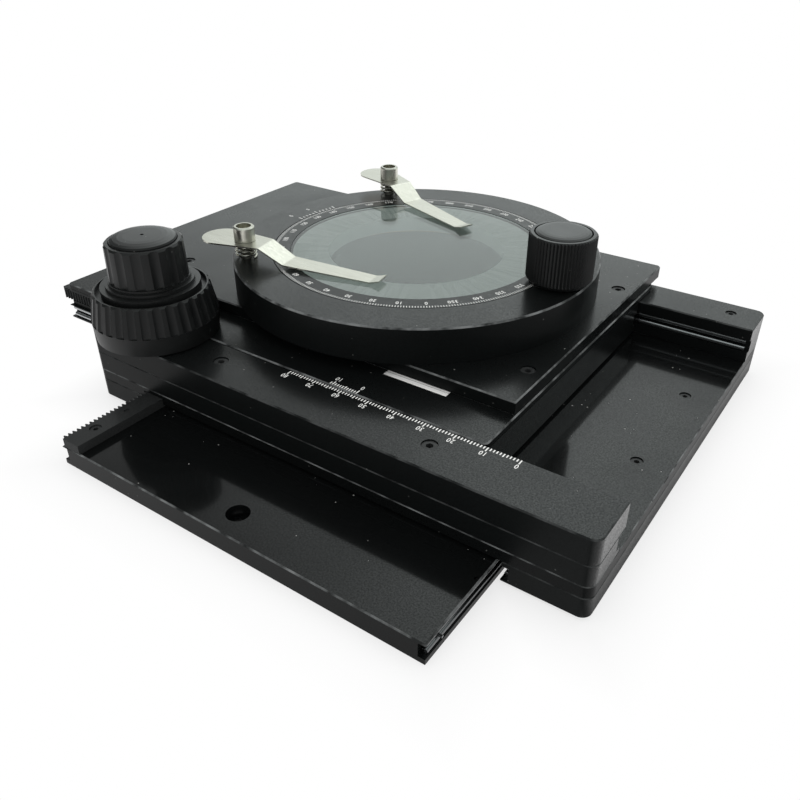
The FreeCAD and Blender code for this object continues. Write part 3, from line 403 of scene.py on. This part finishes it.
def effect(tree, name, inputs=None):
    """An instance of a shared effect in a material."""
    label = "stage_" + name
    if label not in bpy.data.node_groups:
        EFFECTS[name]()
    made = tree.nodes.new("ShaderNodeGroup")
    made.node_tree = bpy.data.node_groups[label]
    for key, value in (inputs or {}).items():
        made.inputs[key].default_value = value
    return made.outputs


def new_material(name):
    """A material, its tree and its Principled shader."""
    material = bpy.data.materials.new(name)
    material.use_nodes = True
    tree = material.node_tree
    return material, tree, tree.nodes["Principled BSDF"]


def bump(tree, shader, height, strength, distance):
    """Gives a shader a relief."""
    made = add(tree, "ShaderNodeBump", {"Height": height, "Strength": strength, "Distance": distance})
    tree.links.new(made.outputs[0], shader.inputs["Normal"])


def black_finish(name, finishes, base, smooth, rough, grain=2100.0, wear=1.0, dust=1.0, polish=0.2,
                 gloss=1.0, ends=0.0):
    """A black coating: patchy sheen, fine grain, dust specks, rubbed edges with a painted highlight on the upward
    bevels, and polished tops.
    """
    material, tree, shader = new_material(name)
    grains = effect(tree, "grain", {"Scale": grain, "Patch Scale": 26.0})
    specks = effect(tree, "dust", {"Density": finishes.dust_density * dust, "Speck": 0.1})
    edges = effect(tree, "wear", {"Amount": finishes.wear * wear})
    coat = blend(tree, grains["Tone"], rgba(base), rgba(base, 1.7))
    # Upward bevels turn pale: wear and a painted highlight.
    coat = blend(tree, edges["Mask"], coat, rgba(finishes.worn_edge))
    coat = blend(tree, specks["Mask"], coat, rgba(finishes.dust))
    tree.links.new(coat, shader.inputs["Base Color"])
    dull = maths(tree, "MAXIMUM", between(tree, grains["Patch"], smooth, rough),
                 product(tree, specks["Mask"], 0.9))
    tree.links.new(dull, shader.inputs["Roughness"])
    shader.inputs["Specular IOR Level"].default_value = 0.07
    speckle = ramp(tree, grains["Tone"], 0.1, 0.9, gloss, 0.4 * gloss)
    tops = effect(tree, "tops", {"Right Ends": ends})
    tree.links.new(product(tree, tops["Mask"], speckle), shader.inputs["Coat Weight"])
    shader.inputs["Coat Roughness"].default_value = polish
    bump(tree, shader, grains["Height"], 0.5, 0.012 * MM)
    return material


def plastic_finish(name, finishes, centre):
    """Moulded plastic with a soft sheen, a fine spark texture and pale handling marks."""
    material, tree, shader = new_material(name)
    grains = effect(tree, "grain", {"Scale": 2600.0, "Patch Scale": 70.0})
    specks = effect(tree, "dust", {"Scale": 520.0, "Density": finishes.dust_density * 0.8, "Speck": 0.12})
    rings = effect(tree, "turned", {"Centre": centre, "Rings per Metre": 5200.0})
    coat = blend(tree, grains["Patch"], rgba(finishes.plastic), rgba(finishes.plastic, 1.8))
    coat = blend(tree, specks["Mask"], coat, rgba(finishes.dust))
    tree.links.new(coat, shader.inputs["Base Color"])
    tree.links.new(between(tree, grains["Patch"], 0.34, 0.5), shader.inputs["Roughness"])
    shader.inputs["Specular IOR Level"].default_value = 0.28
    tree.links.new(product(tree, effect(tree, "tops")["Mask"], 0.85), shader.inputs["Coat Weight"])
    shader.inputs["Coat Roughness"].default_value = 0.35
    height = maths(tree, "ADD", grains["Height"], product(tree, rings["Height"], 0.5))
    bump(tree, shader, height, 0.6, 0.012 * MM)
    return material


def metal_finish(name, tint, smooth, rough, stretch, turned=(0.0, 0.0, 0.0), tarnish=0.72):
    """Bare metal with drawn lines, patches of duller tone and a fine relief."""
    material, tree, shader = new_material(name)
    lines = effect(tree, "brushed", {"Stretch": stretch, "Turn": turned})
    grains = effect(tree, "grain", {"Scale": 1800.0, "Patch Scale": 90.0})
    tone = product(tree, lines["Tone"], between(tree, grains["Patch"], 0.35, 0.8))
    tree.links.new(blend(tree, tone, rgba(tint), rgba(tint, tarnish)), shader.inputs["Base Color"])
    tree.links.new(between(tree, lines["Tone"], smooth, rough), shader.inputs["Roughness"])
    shader.inputs["Metallic"].default_value = 1.0
    bump(tree, shader, lines["Height"], 0.4, 0.002 * MM)
    return material


def turned_finish(name, tint, centre):
    """Bare turned metal with rings round its axis."""
    material, tree, shader = new_material(name)
    rings = effect(tree, "turned", {"Centre": centre, "Rings per Metre": 12000.0})
    grains = effect(tree, "grain", {"Scale": 2200.0, "Patch Scale": 220.0})
    tree.links.new(blend(tree, grains["Patch"], rgba(tint), rgba(tint, 0.8)), shader.inputs["Base Color"])
    tree.links.new(between(tree, rings["Tone"], 0.2, 0.38), shader.inputs["Roughness"])
    shader.inputs["Metallic"].default_value = 1.0
    bump(tree, shader, rings["Height"], 0.3, 0.002 * MM)
    return material


def dial_finish(finishes):
    """The dial's black face, with a pale seat under the glass and a glow on the seat and the opening's wall:
    painted light that stands in for what the glass carries there.
    """
    face = black_finish("dial_face", finishes, finishes.anodised, 0.34, 0.46, wear=0.3, dust=0.6)
    tree = face.node_tree
    shader = tree.nodes["Principled BSDF"]
    low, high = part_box("glass_plate")
    under = maths(tree, "LESS_THAN", radius_from(tree, middle_of("glass_plate")),
                  (high.x - low.x) / 2 - finishes.seat_edge)
    coat = shader.inputs["Base Color"].links[0].from_socket
    # Painted light: a pale colour and a glow under the glass stand in for light the glass carries to the seat,
    # weaker on the opening's wall.
    tree.links.new(blend(tree, under, coat, rgba(finishes.seat)), shader.inputs["Base Color"])
    painted_glow = product(tree, under, between(tree, upward(tree), finishes.wall_light, 1.0))
    tree.links.new(blend(tree, painted_glow, (0, 0, 0, 1), rgba(finishes.seat_light)), shader.inputs["Emission Color"])
    shader.inputs["Emission Strength"].default_value = 1.0
    return face


def glass_finish(finishes):
    """Clear greenish glass with a film of fine dust."""
    material, tree, shader = new_material("clear_glass")
    specks = effect(tree, "dust", {"Scale": 300.0, "Density": 0.05, "Speck": 0.07})
    grains = effect(tree, "grain", {"Scale": 60.0, "Patch Scale": 18.0})
    tree.links.new(blend(tree, specks["Mask"], rgba(finishes.glass), rgba(finishes.glass_dust)),
                   shader.inputs["Base Color"])
    film = between(tree, grains["Patch"], 0.02, 0.05)
    tree.links.new(maths(tree, "MAXIMUM", film, product(tree, specks["Mask"], 0.5)),
                   shader.inputs["Roughness"])
    shader.inputs["Transmission Weight"].default_value = 0.96
    shader.inputs["IOR"].default_value = 1.52
    return material


def strip_finish(finishes):
    """A plain white strip with faint drawn lines and a grey line along its middle."""
    material, tree, shader = new_material("white_strip")
    lines = effect(tree, "brushed", {"Stretch": (40.0, 900.0, 900.0)})
    off = maths(tree, "ABSOLUTE", maths(tree, "SUBTRACT", parts_of(tree, place_of(tree))["Y"],
                                        middle_of("bright_strip")[1]))
    pale = blend(tree, lines["Tone"], rgba(finishes.strip), rgba(finishes.strip, 0.9))
    line = maths(tree, "LESS_THAN", off, finishes.strip_line / 2)
    tree.links.new(blend(tree, line, pale, rgba(finishes.strip, 0.35)), shader.inputs["Base Color"])
    shader.inputs["Roughness"].default_value = 0.4
    bump(tree, shader, lines["Height"], 0.3, 0.004 * MM)
    return material


def marking_finish(finishes):
    """White filler of the engraving, slightly uneven."""
    material, tree, shader = new_material("white_marking")
    grains = effect(tree, "grain", {"Scale": 5000.0, "Patch Scale": 900.0})
    tree.links.new(blend(tree, grains["Patch"], rgba(finishes.marking), rgba(finishes.marking, 0.9)),
                   shader.inputs["Base Color"])
    shader.inputs["Roughness"].default_value = 0.6
    return material


def middle_of(node):
    """The middle of a CAD node's box."""
    low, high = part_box(node)
    return tuple((low + high) / 2)


def set_material(data, material):
    """Gives a mesh its only material."""
    data.materials.clear()
    data.materials.append(material)


def dress(material, *names):
    """Gives CAD nodes their finish."""
    for name in names:
        set_material(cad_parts[name].data, material)


def add_object(context, name, data):
    """A new object in the scene."""
    made = bpy.data.objects.new(name, data)
    context.collection.objects.link(made)
    return made


class STAGE_OT_finish_bars(bpy.types.Operator):
    """Satin anodised bars, rails and slides"""

    bl_idname = "stage.finish_bars"
    bl_label = "Finish Bars"

    def execute(self, context):
        finishes = context.scene.stage_finishes
        bars = black_finish("anodised_bars", finishes, finishes.anodised, 0.3, 0.42, wear=0.3, ends=1.0)
        dress(bars, "scale_bar", "front_rail", "rear_rail", "side_rail_left", "side_rail_right", "slide_body")
        return {"FINISHED"}


class STAGE_OT_finish_plates(bpy.types.Operator):
    """Glossy enamelled plates with a faint orange peel"""

    bl_idname = "stage.finish_plates"
    bl_label = "Finish Plates"

    def execute(self, context):
        finishes = context.scene.stage_finishes
        wide = black_finish("enamelled_plates", finishes, finishes.enamel, 0.14, 0.26,
                            dust=1.4, polish=0.08)
        dress(wide, "base_plate", "floor_plate")
        upper = black_finish("slide_plates", finishes, finishes.anodised, 0.24, 0.38, dust=1.2)
        dress(upper, "top_plate", "vernier_plate")
        return {"FINISHED"}


class STAGE_OT_finish_turntable(bpy.types.Operator):
    """Housing, dial and glass of the turntable"""

    bl_idname = "stage.finish_turntable"
    bl_label = "Finish Turntable"

    def execute(self, context):
        finishes = context.scene.stage_finishes
        housing = black_finish("turntable_housing", finishes, finishes.anodised, 0.28, 0.38, dust=1.1)
        dress(housing, "ring_housing")
        dress(dial_finish(finishes), "dial")
        dress(glass_finish(finishes), "glass_plate")
        brass = turned_finish("turned_brass", finishes.brass, middle_of("dial"))
        dress(brass, "dial_gear", "slip_ring", "turn_pinion", "turn_bush")
        return {"FINISHED"}


class STAGE_OT_finish_knobs(bpy.types.Operator):
    """Moulded knobs and their caps"""

    bl_idname = "stage.finish_knobs"
    bl_label = "Finish Knobs"

    def execute(self, context):
        finishes = context.scene.stage_finishes
        coaxial = plastic_finish("coaxial_knob_plastic", finishes, middle_of("x_knob"))
        dress(coaxial, "x_knob", "y_knob", "y_knob_cap")
        turning = plastic_finish("turning_knob_plastic", finishes, middle_of("turn_knob"))
        dress(turning, "turn_knob", "turn_knob_cap")
        return {"FINISHED"}


class STAGE_OT_finish_drive(bpy.types.Operator):
    """Racks, pinions, shafts, rods, balls, bushes and screws"""

    bl_idname = "stage.finish_drive"
    bl_label = "Finish Drive"

    def execute(self, context):
        finishes = context.scene.stage_finishes
        oxide = black_finish("black_oxide", finishes, finishes.black_oxide, 0.4, 0.55, grain=2200.0, dust=0.5,
                             gloss=0.6)
        dress(oxide, "x_rack", "y_rack", "y_rack_screws", "x_rack_screws", "top_plate_screws",
              "scale_bar_screws", "rear_rail_screws", "floor_screws")
        along_x = metal_finish("ground_steel_across", finishes.steel, 0.16, 0.3, (40.0, 2600.0, 2600.0))
        dress(along_x, "rail_rods", "slide_rods")
        # These rods take the darker copy of the ground steel.
        along_y = metal_finish("ground_steel_along", finishes.oiled, 0.16, 0.3, (2600.0, 40.0, 2600.0))
        dress(along_y, "base_rods", "side_rail_rods", "base_stop_screws")
        round_steel = metal_finish("polished_steel", finishes.steel, 0.1, 0.2, (300.0, 300.0, 300.0))
        dress(round_steel, "x_balls", "y_balls", "inner_shaft", "tube_shaft", "turn_shaft")
        brass = turned_finish("knob_brass", finishes.brass, middle_of("x_knob"))
        dress(brass, "upper_shaft_bush", "lower_shaft_bush", "x_pinion", "y_pinion", "x_cages", "y_cages")
        return {"FINISHED"}


def pressed_spring(context, side, material):
    """A clip's spring, as a copy that rides on the clip's swivel."""
    node = "clip_spring_" + side
    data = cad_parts[node].data.copy()
    set_material(data, material)
    piece = add_object(context, "pressed_spring_" + side, data)
    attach(piece, "clip_swivel_" + side)
    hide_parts(node)
    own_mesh(piece)


class STAGE_OT_finish_clips(bpy.types.Operator):
    """Nickel clips with their posts and springs, and the bright strip"""

    bl_idname = "stage.finish_clips"
    bl_label = "Finish Clips"

    def execute(self, context):
        finishes = context.scene.stage_finishes
        for side in ("left", "rear"):
            post_place, leaf_place = middle_of("clip_post_" + side), middle_of("clip_leaf_" + side)
            post = turned_finish("nickel_post_" + side, finishes.nickel, post_place)
            dress(post, "clip_post_" + side)
            lean = -math.atan2(leaf_place[1] - post_place[1], leaf_place[0] - post_place[0])
            leaf = metal_finish("nickel_leaf_" + side, finishes.nickel, 0.24, 0.4, (90.0, 1500.0, 1500.0),
                                turned=(0.0, 0.0, lean), tarnish=0.86)
            dress(leaf, "clip_leaf_" + side)
            wire = metal_finish("spring_wire_" + side, finishes.nickel, 0.14, 0.28, (900.0, 900.0, 300.0))
            pressed_spring(context, side, wire)
        dress(strip_finish(finishes), "bright_strip")
        return {"FINISHED"}


def mark_line(mesh, middle, along, across, long, wide):
    """A flat line in a mesh, from its middle and its two directions."""
    half_long, half_wide = along * (long / 2), across * (wide / 2)
    corners = (-half_long - half_wide, half_long - half_wide, half_long + half_wide, half_wide - half_long)
    mesh.faces.new([mesh.verts.new(middle + corner) for corner in corners])


def mark_figure(mesh, text, middle, up, marks):
    """A flat figure in a mesh, level, with its top towards up."""
    curve = bpy.data.curves.new("figure", "FONT")
    curve.body = text
    curve.align_x, curve.align_y = "CENTER", "CENTER"
    curve.size = marks.figure / FIGURE_SHARE
    curve.resolution_u = FIGURE_STEPS
    curve.space_character = FIGURE_SPACE
    curve.offset = marks.weight
    holder = add_object(bpy.context, "figure", curve)
    bpy.context.view_layer.update()
    shape = bpy.data.meshes.new_from_object(holder)
    bpy.data.objects.remove(holder)
    up = up.normalized()
    right = up.cross(Vector((0.0, 0.0, 1.0))) * marks.narrow
    shape.transform(Matrix((right, up, Vector((0.0, 0.0, 1.0)))).transposed().to_4x4())
    shape.transform(Matrix.Translation(middle))
    mesh.from_mesh(shape)
    bpy.data.meshes.remove(shape)


def finished(name, mesh, material):
    """Mesh data from a mesh that is done."""
    data = bpy.data.meshes.new(name)
    mesh.to_mesh(data)
    mesh.free()
    set_material(data, material)
    return data


def finish_marks(context, name, mesh, body):
    """Turns a mesh of lines and figures into a piece that rides on a body."""
    for face in mesh.faces:
        if face.normal.z < 0:
            face.normal_flip()
    material = bpy.data.materials.get("white_marking") or marking_finish(context.scene.stage_finishes)
    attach(add_object(context, name, finished(name, mesh, material)), body)


def straight_scale(mesh, marks, start, lines, step, inward, figures):
    """Lines from a plate's edge, counted to the left, with a figure at each tenth.

    They reach from the edge to the rear where inward is 1, and to the front where it is -1.
    """
    across, along = Vector((1, 0, 0)), Vector((0, 1, 0))
    for i in range(lines):
        edge = start - across * (i * step)
        long = marks.long if i % 10 == 0 else marks.middle if i % 5 == 0 else marks.short
        mark_line(mesh, edge + along * (inward * (marks.edge + long / 2)), along, across, long, marks.line)
        if i % 10 == 0:
            mark_figure(mesh, str(i), edge + along * (inward * figures), -along, marks)


def dial_place(angle, radius, level):
    """A place round the dial's centre, and the direction from there outwards."""
    out = Vector((math.cos(angle), math.sin(angle), 0))
    return Vector((DIAL_CENTRE.x, DIAL_CENTRE.y, level)) + out * radius, out


def round_line(mesh, angle, radius, level, long, wide):
    """A line that points away from the dial's centre."""
    middle, out = dial_place(angle, radius, level)
    mark_line(mesh, middle, out, Vector((-out.y, out.x, 0)), long, wide)


def round_figure(mesh, text, angle, radius, level, marks):
    """A figure with its foot towards the dial's centre."""
    middle, out = dial_place(angle, radius, level)
    mark_figure(mesh, text, middle, out, marks)


class STAGE_OT_mark_travel_scale(bpy.types.Operator):
    """Lines and figures of the travel scale along the bar's inner edge"""

    bl_idname = "stage.mark_travel_scale"
    bl_label = "Mark Travel Scale"

    def execute(self, context):
        marks = context.scene.stage_marks
        mesh = bmesh.new()
        start = BAR_HIGH + Vector((-marks.scale_zero, 0, marks.lift))
        straight_scale(mesh, marks, start, marks.scale_lines, MM, -1, marks.scale_figures)
        finish_marks(context, "travel_scale_marks", mesh, "y_carriage")
        return {"FINISHED"}


class STAGE_OT_mark_vernier(bpy.types.Operator):
    """Lines and figures of the vernier on the moving plate's front edge"""

    bl_idname = "stage.mark_vernier"
    bl_label = "Mark Vernier"

    def execute(self, context):
        marks = context.scene.stage_marks
        mesh = bmesh.new()
        start = Vector((VERNIER_HIGH.x - marks.vernier_zero, VERNIER_LOW.y, VERNIER_HIGH.z + marks.lift))
        straight_scale(mesh, marks, start, marks.vernier_lines, marks.vernier_step, 1, marks.vernier_figures)
        finish_marks(context, "vernier_marks", mesh, "x_carriage")
        return {"FINISHED"}


class STAGE_OT_mark_dial(bpy.types.Operator):
    """Degree lines and figures round the dial"""

    bl_idname = "stage.mark_dial"
    bl_label = "Mark Dial"

    def execute(self, context):
        marks = context.scene.stage_marks
        mesh = bmesh.new()
        level = DIAL_HIGH.z + marks.lift
        line_r = DIAL_R - marks.dial_edge - marks.dial_line / 2
        for degree in range(360):
            angle = marks.dial_zero - math.radians(degree)
            round_line(mesh, angle, line_r, level, marks.dial_line, marks.dial_width)
            if degree % 10 == 0:
                round_figure(mesh, str(degree), angle, DIAL_R - marks.dial_figures, level, marks)
        finish_marks(context, "dial_marks", mesh, "dial")
        return {"FINISHED"}


class STAGE_OT_mark_index(bpy.types.Operator):
    """Vernier lines and figures on the housing beside the dial"""

    bl_idname = "stage.mark_index"
    bl_label = "Mark Index"

    def execute(self, context):
        marks = context.scene.stage_marks
        mesh = bmesh.new()
        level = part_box("ring_housing")[1].z + marks.lift
        for i in range(marks.index_lines):
            angle = marks.index_zero - i * marks.index_step
            long = marks.long if i % 5 == 0 else marks.short
            round_line(mesh, angle, DIAL_R + marks.index_edge + long / 2, level, long, marks.line)
            if i in (0, 5):
                round_figure(mesh, str(i), angle, DIAL_R + marks.index_figures, level, marks)
        finish_marks(context, "index_marks", mesh, "x_carriage")
        return {"FINISHED"}


def beside(tree, place, node):
    """How far a place on the floor lies outside a node's outline; negative under the node."""
    low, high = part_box(node)
    sides = []
    for i, axis in enumerate("XY"):
        off = maths(tree, "ABSOLUTE", maths(tree, "SUBTRACT", place[axis], (low[i] + high[i]) / 2))
        sides.append(maths(tree, "SUBTRACT", off, (high[i] - low[i]) / 2))
    return maths(tree, "MAXIMUM", *sides)


def floor_finish(studio):
    """A pale floor that keeps the shadow near the stage and melts into the background further out.

    In mirrors it carries a painted shadow right beside the carriage's right side.
    """
    material, tree, shader = new_material("studio_floor")
    grains = effect(tree, "grain", {"Scale": 200.0, "Patch Scale": 6.0})
    tree.links.new(blend(tree, grains["Patch"], *FLOOR_TONES), shader.inputs["Base Color"])
    shader.inputs["Roughness"].default_value = 0.85
    place = parts_of(tree, place_of(tree))
    away = maths(tree, "MINIMUM", beside(tree, place, "floor_plate"), beside(tree, place, "base_plate"))
    far = ramp(tree, away, 0.0, studio.shadow_reach, studio.shadow_light, 1.0)
    path = add(tree, "ShaderNodeLightPath").outputs
    seen = maths(tree, "MAXIMUM", path["Is Camera Ray"], path["Is Glossy Ray"])
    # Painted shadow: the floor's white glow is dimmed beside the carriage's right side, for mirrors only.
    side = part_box("floor_plate")[1].x
    clear = maths(tree, "MAXIMUM", maths(tree, "LESS_THAN", place["X"], side),
                  ramp(tree, place["X"], side + studio.contact_start, side + studio.contact,
                       studio.contact_light, 1.0))
    strength = between(tree, path["Is Glossy Ray"], 1.0, clear)
    white = add(tree, "ShaderNodeEmission", {"Color": (1, 1, 1, 1), "Strength": strength})
    mixed = add(tree, "ShaderNodeMixShader", {0: product(tree, seen, far), 1: shader.outputs[0],
                                              2: white.outputs[0]})
    tree.links.new(mixed.outputs[0], tree.nodes["Material Output"].inputs["Surface"])
    return material


def white_world(context, studio):
    """Even light on the object, plain white behind it, and a front that is dim in mirrors."""
    world = bpy.data.worlds.new("studio")
    context.scene.world = world
    world.use_nodes = True
    tree = world.node_tree
    path = add(tree, "ShaderNodeLightPath").outputs
    way = parts_of(tree, add(tree, "ShaderNodeTexCoord").outputs["Generated"])
    mirrored = ramp(tree, way["Y"], *REAR_FADE, studio.front_gloss, studio.rear_gloss)
    overhead = product(tree, ramp(tree, way["Z"], *OVERHEAD_FADE, 0.0, studio.top_gloss),
                       ramp(tree, way["X"], *LEFT_FADE))
    around = between(tree, path["Is Glossy Ray"], studio.sky, maths(tree, "ADD", mirrored, overhead))
    seen = maths(tree, "MAXIMUM", path["Is Camera Ray"], path["Is Transmission Ray"])
    strength = between(tree, seen, around, 1.0)
    background = tree.nodes["Background"]
    tint = blend(tree, path["Is Glossy Ray"], (1, 1, 1, 1), rgba(studio.gloss_tint))
    tree.links.new(tint, background.inputs["Color"])
    tree.links.new(strength, background.inputs["Strength"])


def lay_floor(context, studio, level):
    """A square floor, which isn't a piece of the part."""
    half = studio.floor_size / 2
    corners = ((-half, -half), (half, -half), (half, half), (-half, half))
    mesh = bmesh.new()
    mesh.faces.new([mesh.verts.new((x, y, level)) for x, y in corners])
    add_object(context, "studio_floor", finished("studio_floor", mesh, floor_finish(studio)))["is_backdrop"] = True


def hang_lamp(context, name, place, aim, size, strength):
    """A square lamp that shines at a place."""
    data = bpy.data.lights.new(name, "AREA")
    data.shape, data.size, data.size_y, data.energy = "RECTANGLE", size, size, strength
    made = add_object(context, name, data)
    made.location = place
    made.rotation_mode = "QUATERNION"
    made.rotation_quaternion = (Vector(place) - aim).to_track_quat("Z", "Y")


def set_camera(context, studio):
    """The camera that took the photo, as fitted to it."""
    data = bpy.data.cameras.new("camera")
    data.sensor_width = SENSOR_MM
    data.lens = studio.lens
    data.clip_start = studio.clip_start
    camera = add_object(context, "camera", data)
    camera.location = studio.camera_place
    heading = Matrix.Rotation(studio.azimuth, 3, "Z")
    tilt = Matrix.Rotation(math.pi / 2 - studio.elevation, 3, "X")
    camera.rotation_euler = (heading @ tilt @ Matrix.Rotation(studio.roll, 3, "Z")).to_euler()
    context.scene.camera = camera


class STAGE_OT_build_studio(bpy.types.Operator):
    """Pale floor, white surroundings, soft lamps and the camera"""

    bl_idname = "stage.build_studio"
    bl_label = "Build Studio"

    def execute(self, context):
        studio = context.scene.stage_studio
        low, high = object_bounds()
        middle = (low + high) / 2
        lay_floor(context, studio, low.z - studio.floor_gap)
        white_world(context, studio)
        hang_lamp(context, "key_lamp", studio.key_place, middle, studio.key_size, studio.key)
        hang_lamp(context, "fill_lamp", studio.fill_place, middle, studio.fill_size, studio.fill)
        set_camera(context, studio)
        context.scene.view_settings.view_transform = "Standard"
        return {"FINISHED"}


OPERATORS = (STAGE_OT_finish_bars, STAGE_OT_finish_plates, STAGE_OT_finish_turntable, STAGE_OT_finish_knobs,
             STAGE_OT_finish_drive, STAGE_OT_finish_clips, STAGE_OT_mark_travel_scale, STAGE_OT_mark_vernier,
             STAGE_OT_mark_dial, STAGE_OT_mark_index, STAGE_OT_build_studio)


class STAGE_PT_dressing(bpy.types.Panel):
    """Lists the steps and settings of the dressing"""

    bl_idname = "STAGE_PT_dressing"
    bl_label = "Microscope Stage"
    bl_space_type = "VIEW_3D"
    bl_region_type = "UI"
    bl_category = "Stage"

    def draw(self, context):
        for operator in OPERATORS:
            self.layout.operator(operator.bl_idname)
        for group in (context.scene.stage_finishes, context.scene.stage_marks, context.scene.stage_studio):
            box = self.layout.box()
            for name in group.__annotations__:
                box.prop(group, name)


CLASSES = (StageFinishes, StageMarks, StageStudio, *OPERATORS, STAGE_PT_dressing)


def register():
    for made in CLASSES:
        bpy.utils.register_class(made)
    bpy.types.Scene.stage_finishes = bpy.props.PointerProperty(type=StageFinishes)
    bpy.types.Scene.stage_marks = bpy.props.PointerProperty(type=StageMarks)
    bpy.types.Scene.stage_studio = bpy.props.PointerProperty(type=StageStudio)


def unregister():
    del bpy.types.Scene.stage_studio
    del bpy.types.Scene.stage_marks
    del bpy.types.Scene.stage_finishes
    for made in reversed(CLASSES):
        bpy.utils.unregister_class(made)


def main():
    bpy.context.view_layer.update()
    register()
    bpy.ops.stage.finish_bars()
    bpy.ops.stage.finish_plates()
    bpy.ops.stage.finish_turntable()
    bpy.ops.stage.finish_knobs()
    bpy.ops.stage.finish_drive()
    bpy.ops.stage.finish_clips()
    bpy.ops.stage.mark_travel_scale()
    bpy.ops.stage.mark_vernier()
    bpy.ops.stage.mark_dial()
    bpy.ops.stage.mark_index()
    bpy.ops.stage.build_studio()


if __name__ == "__main__":
    main()
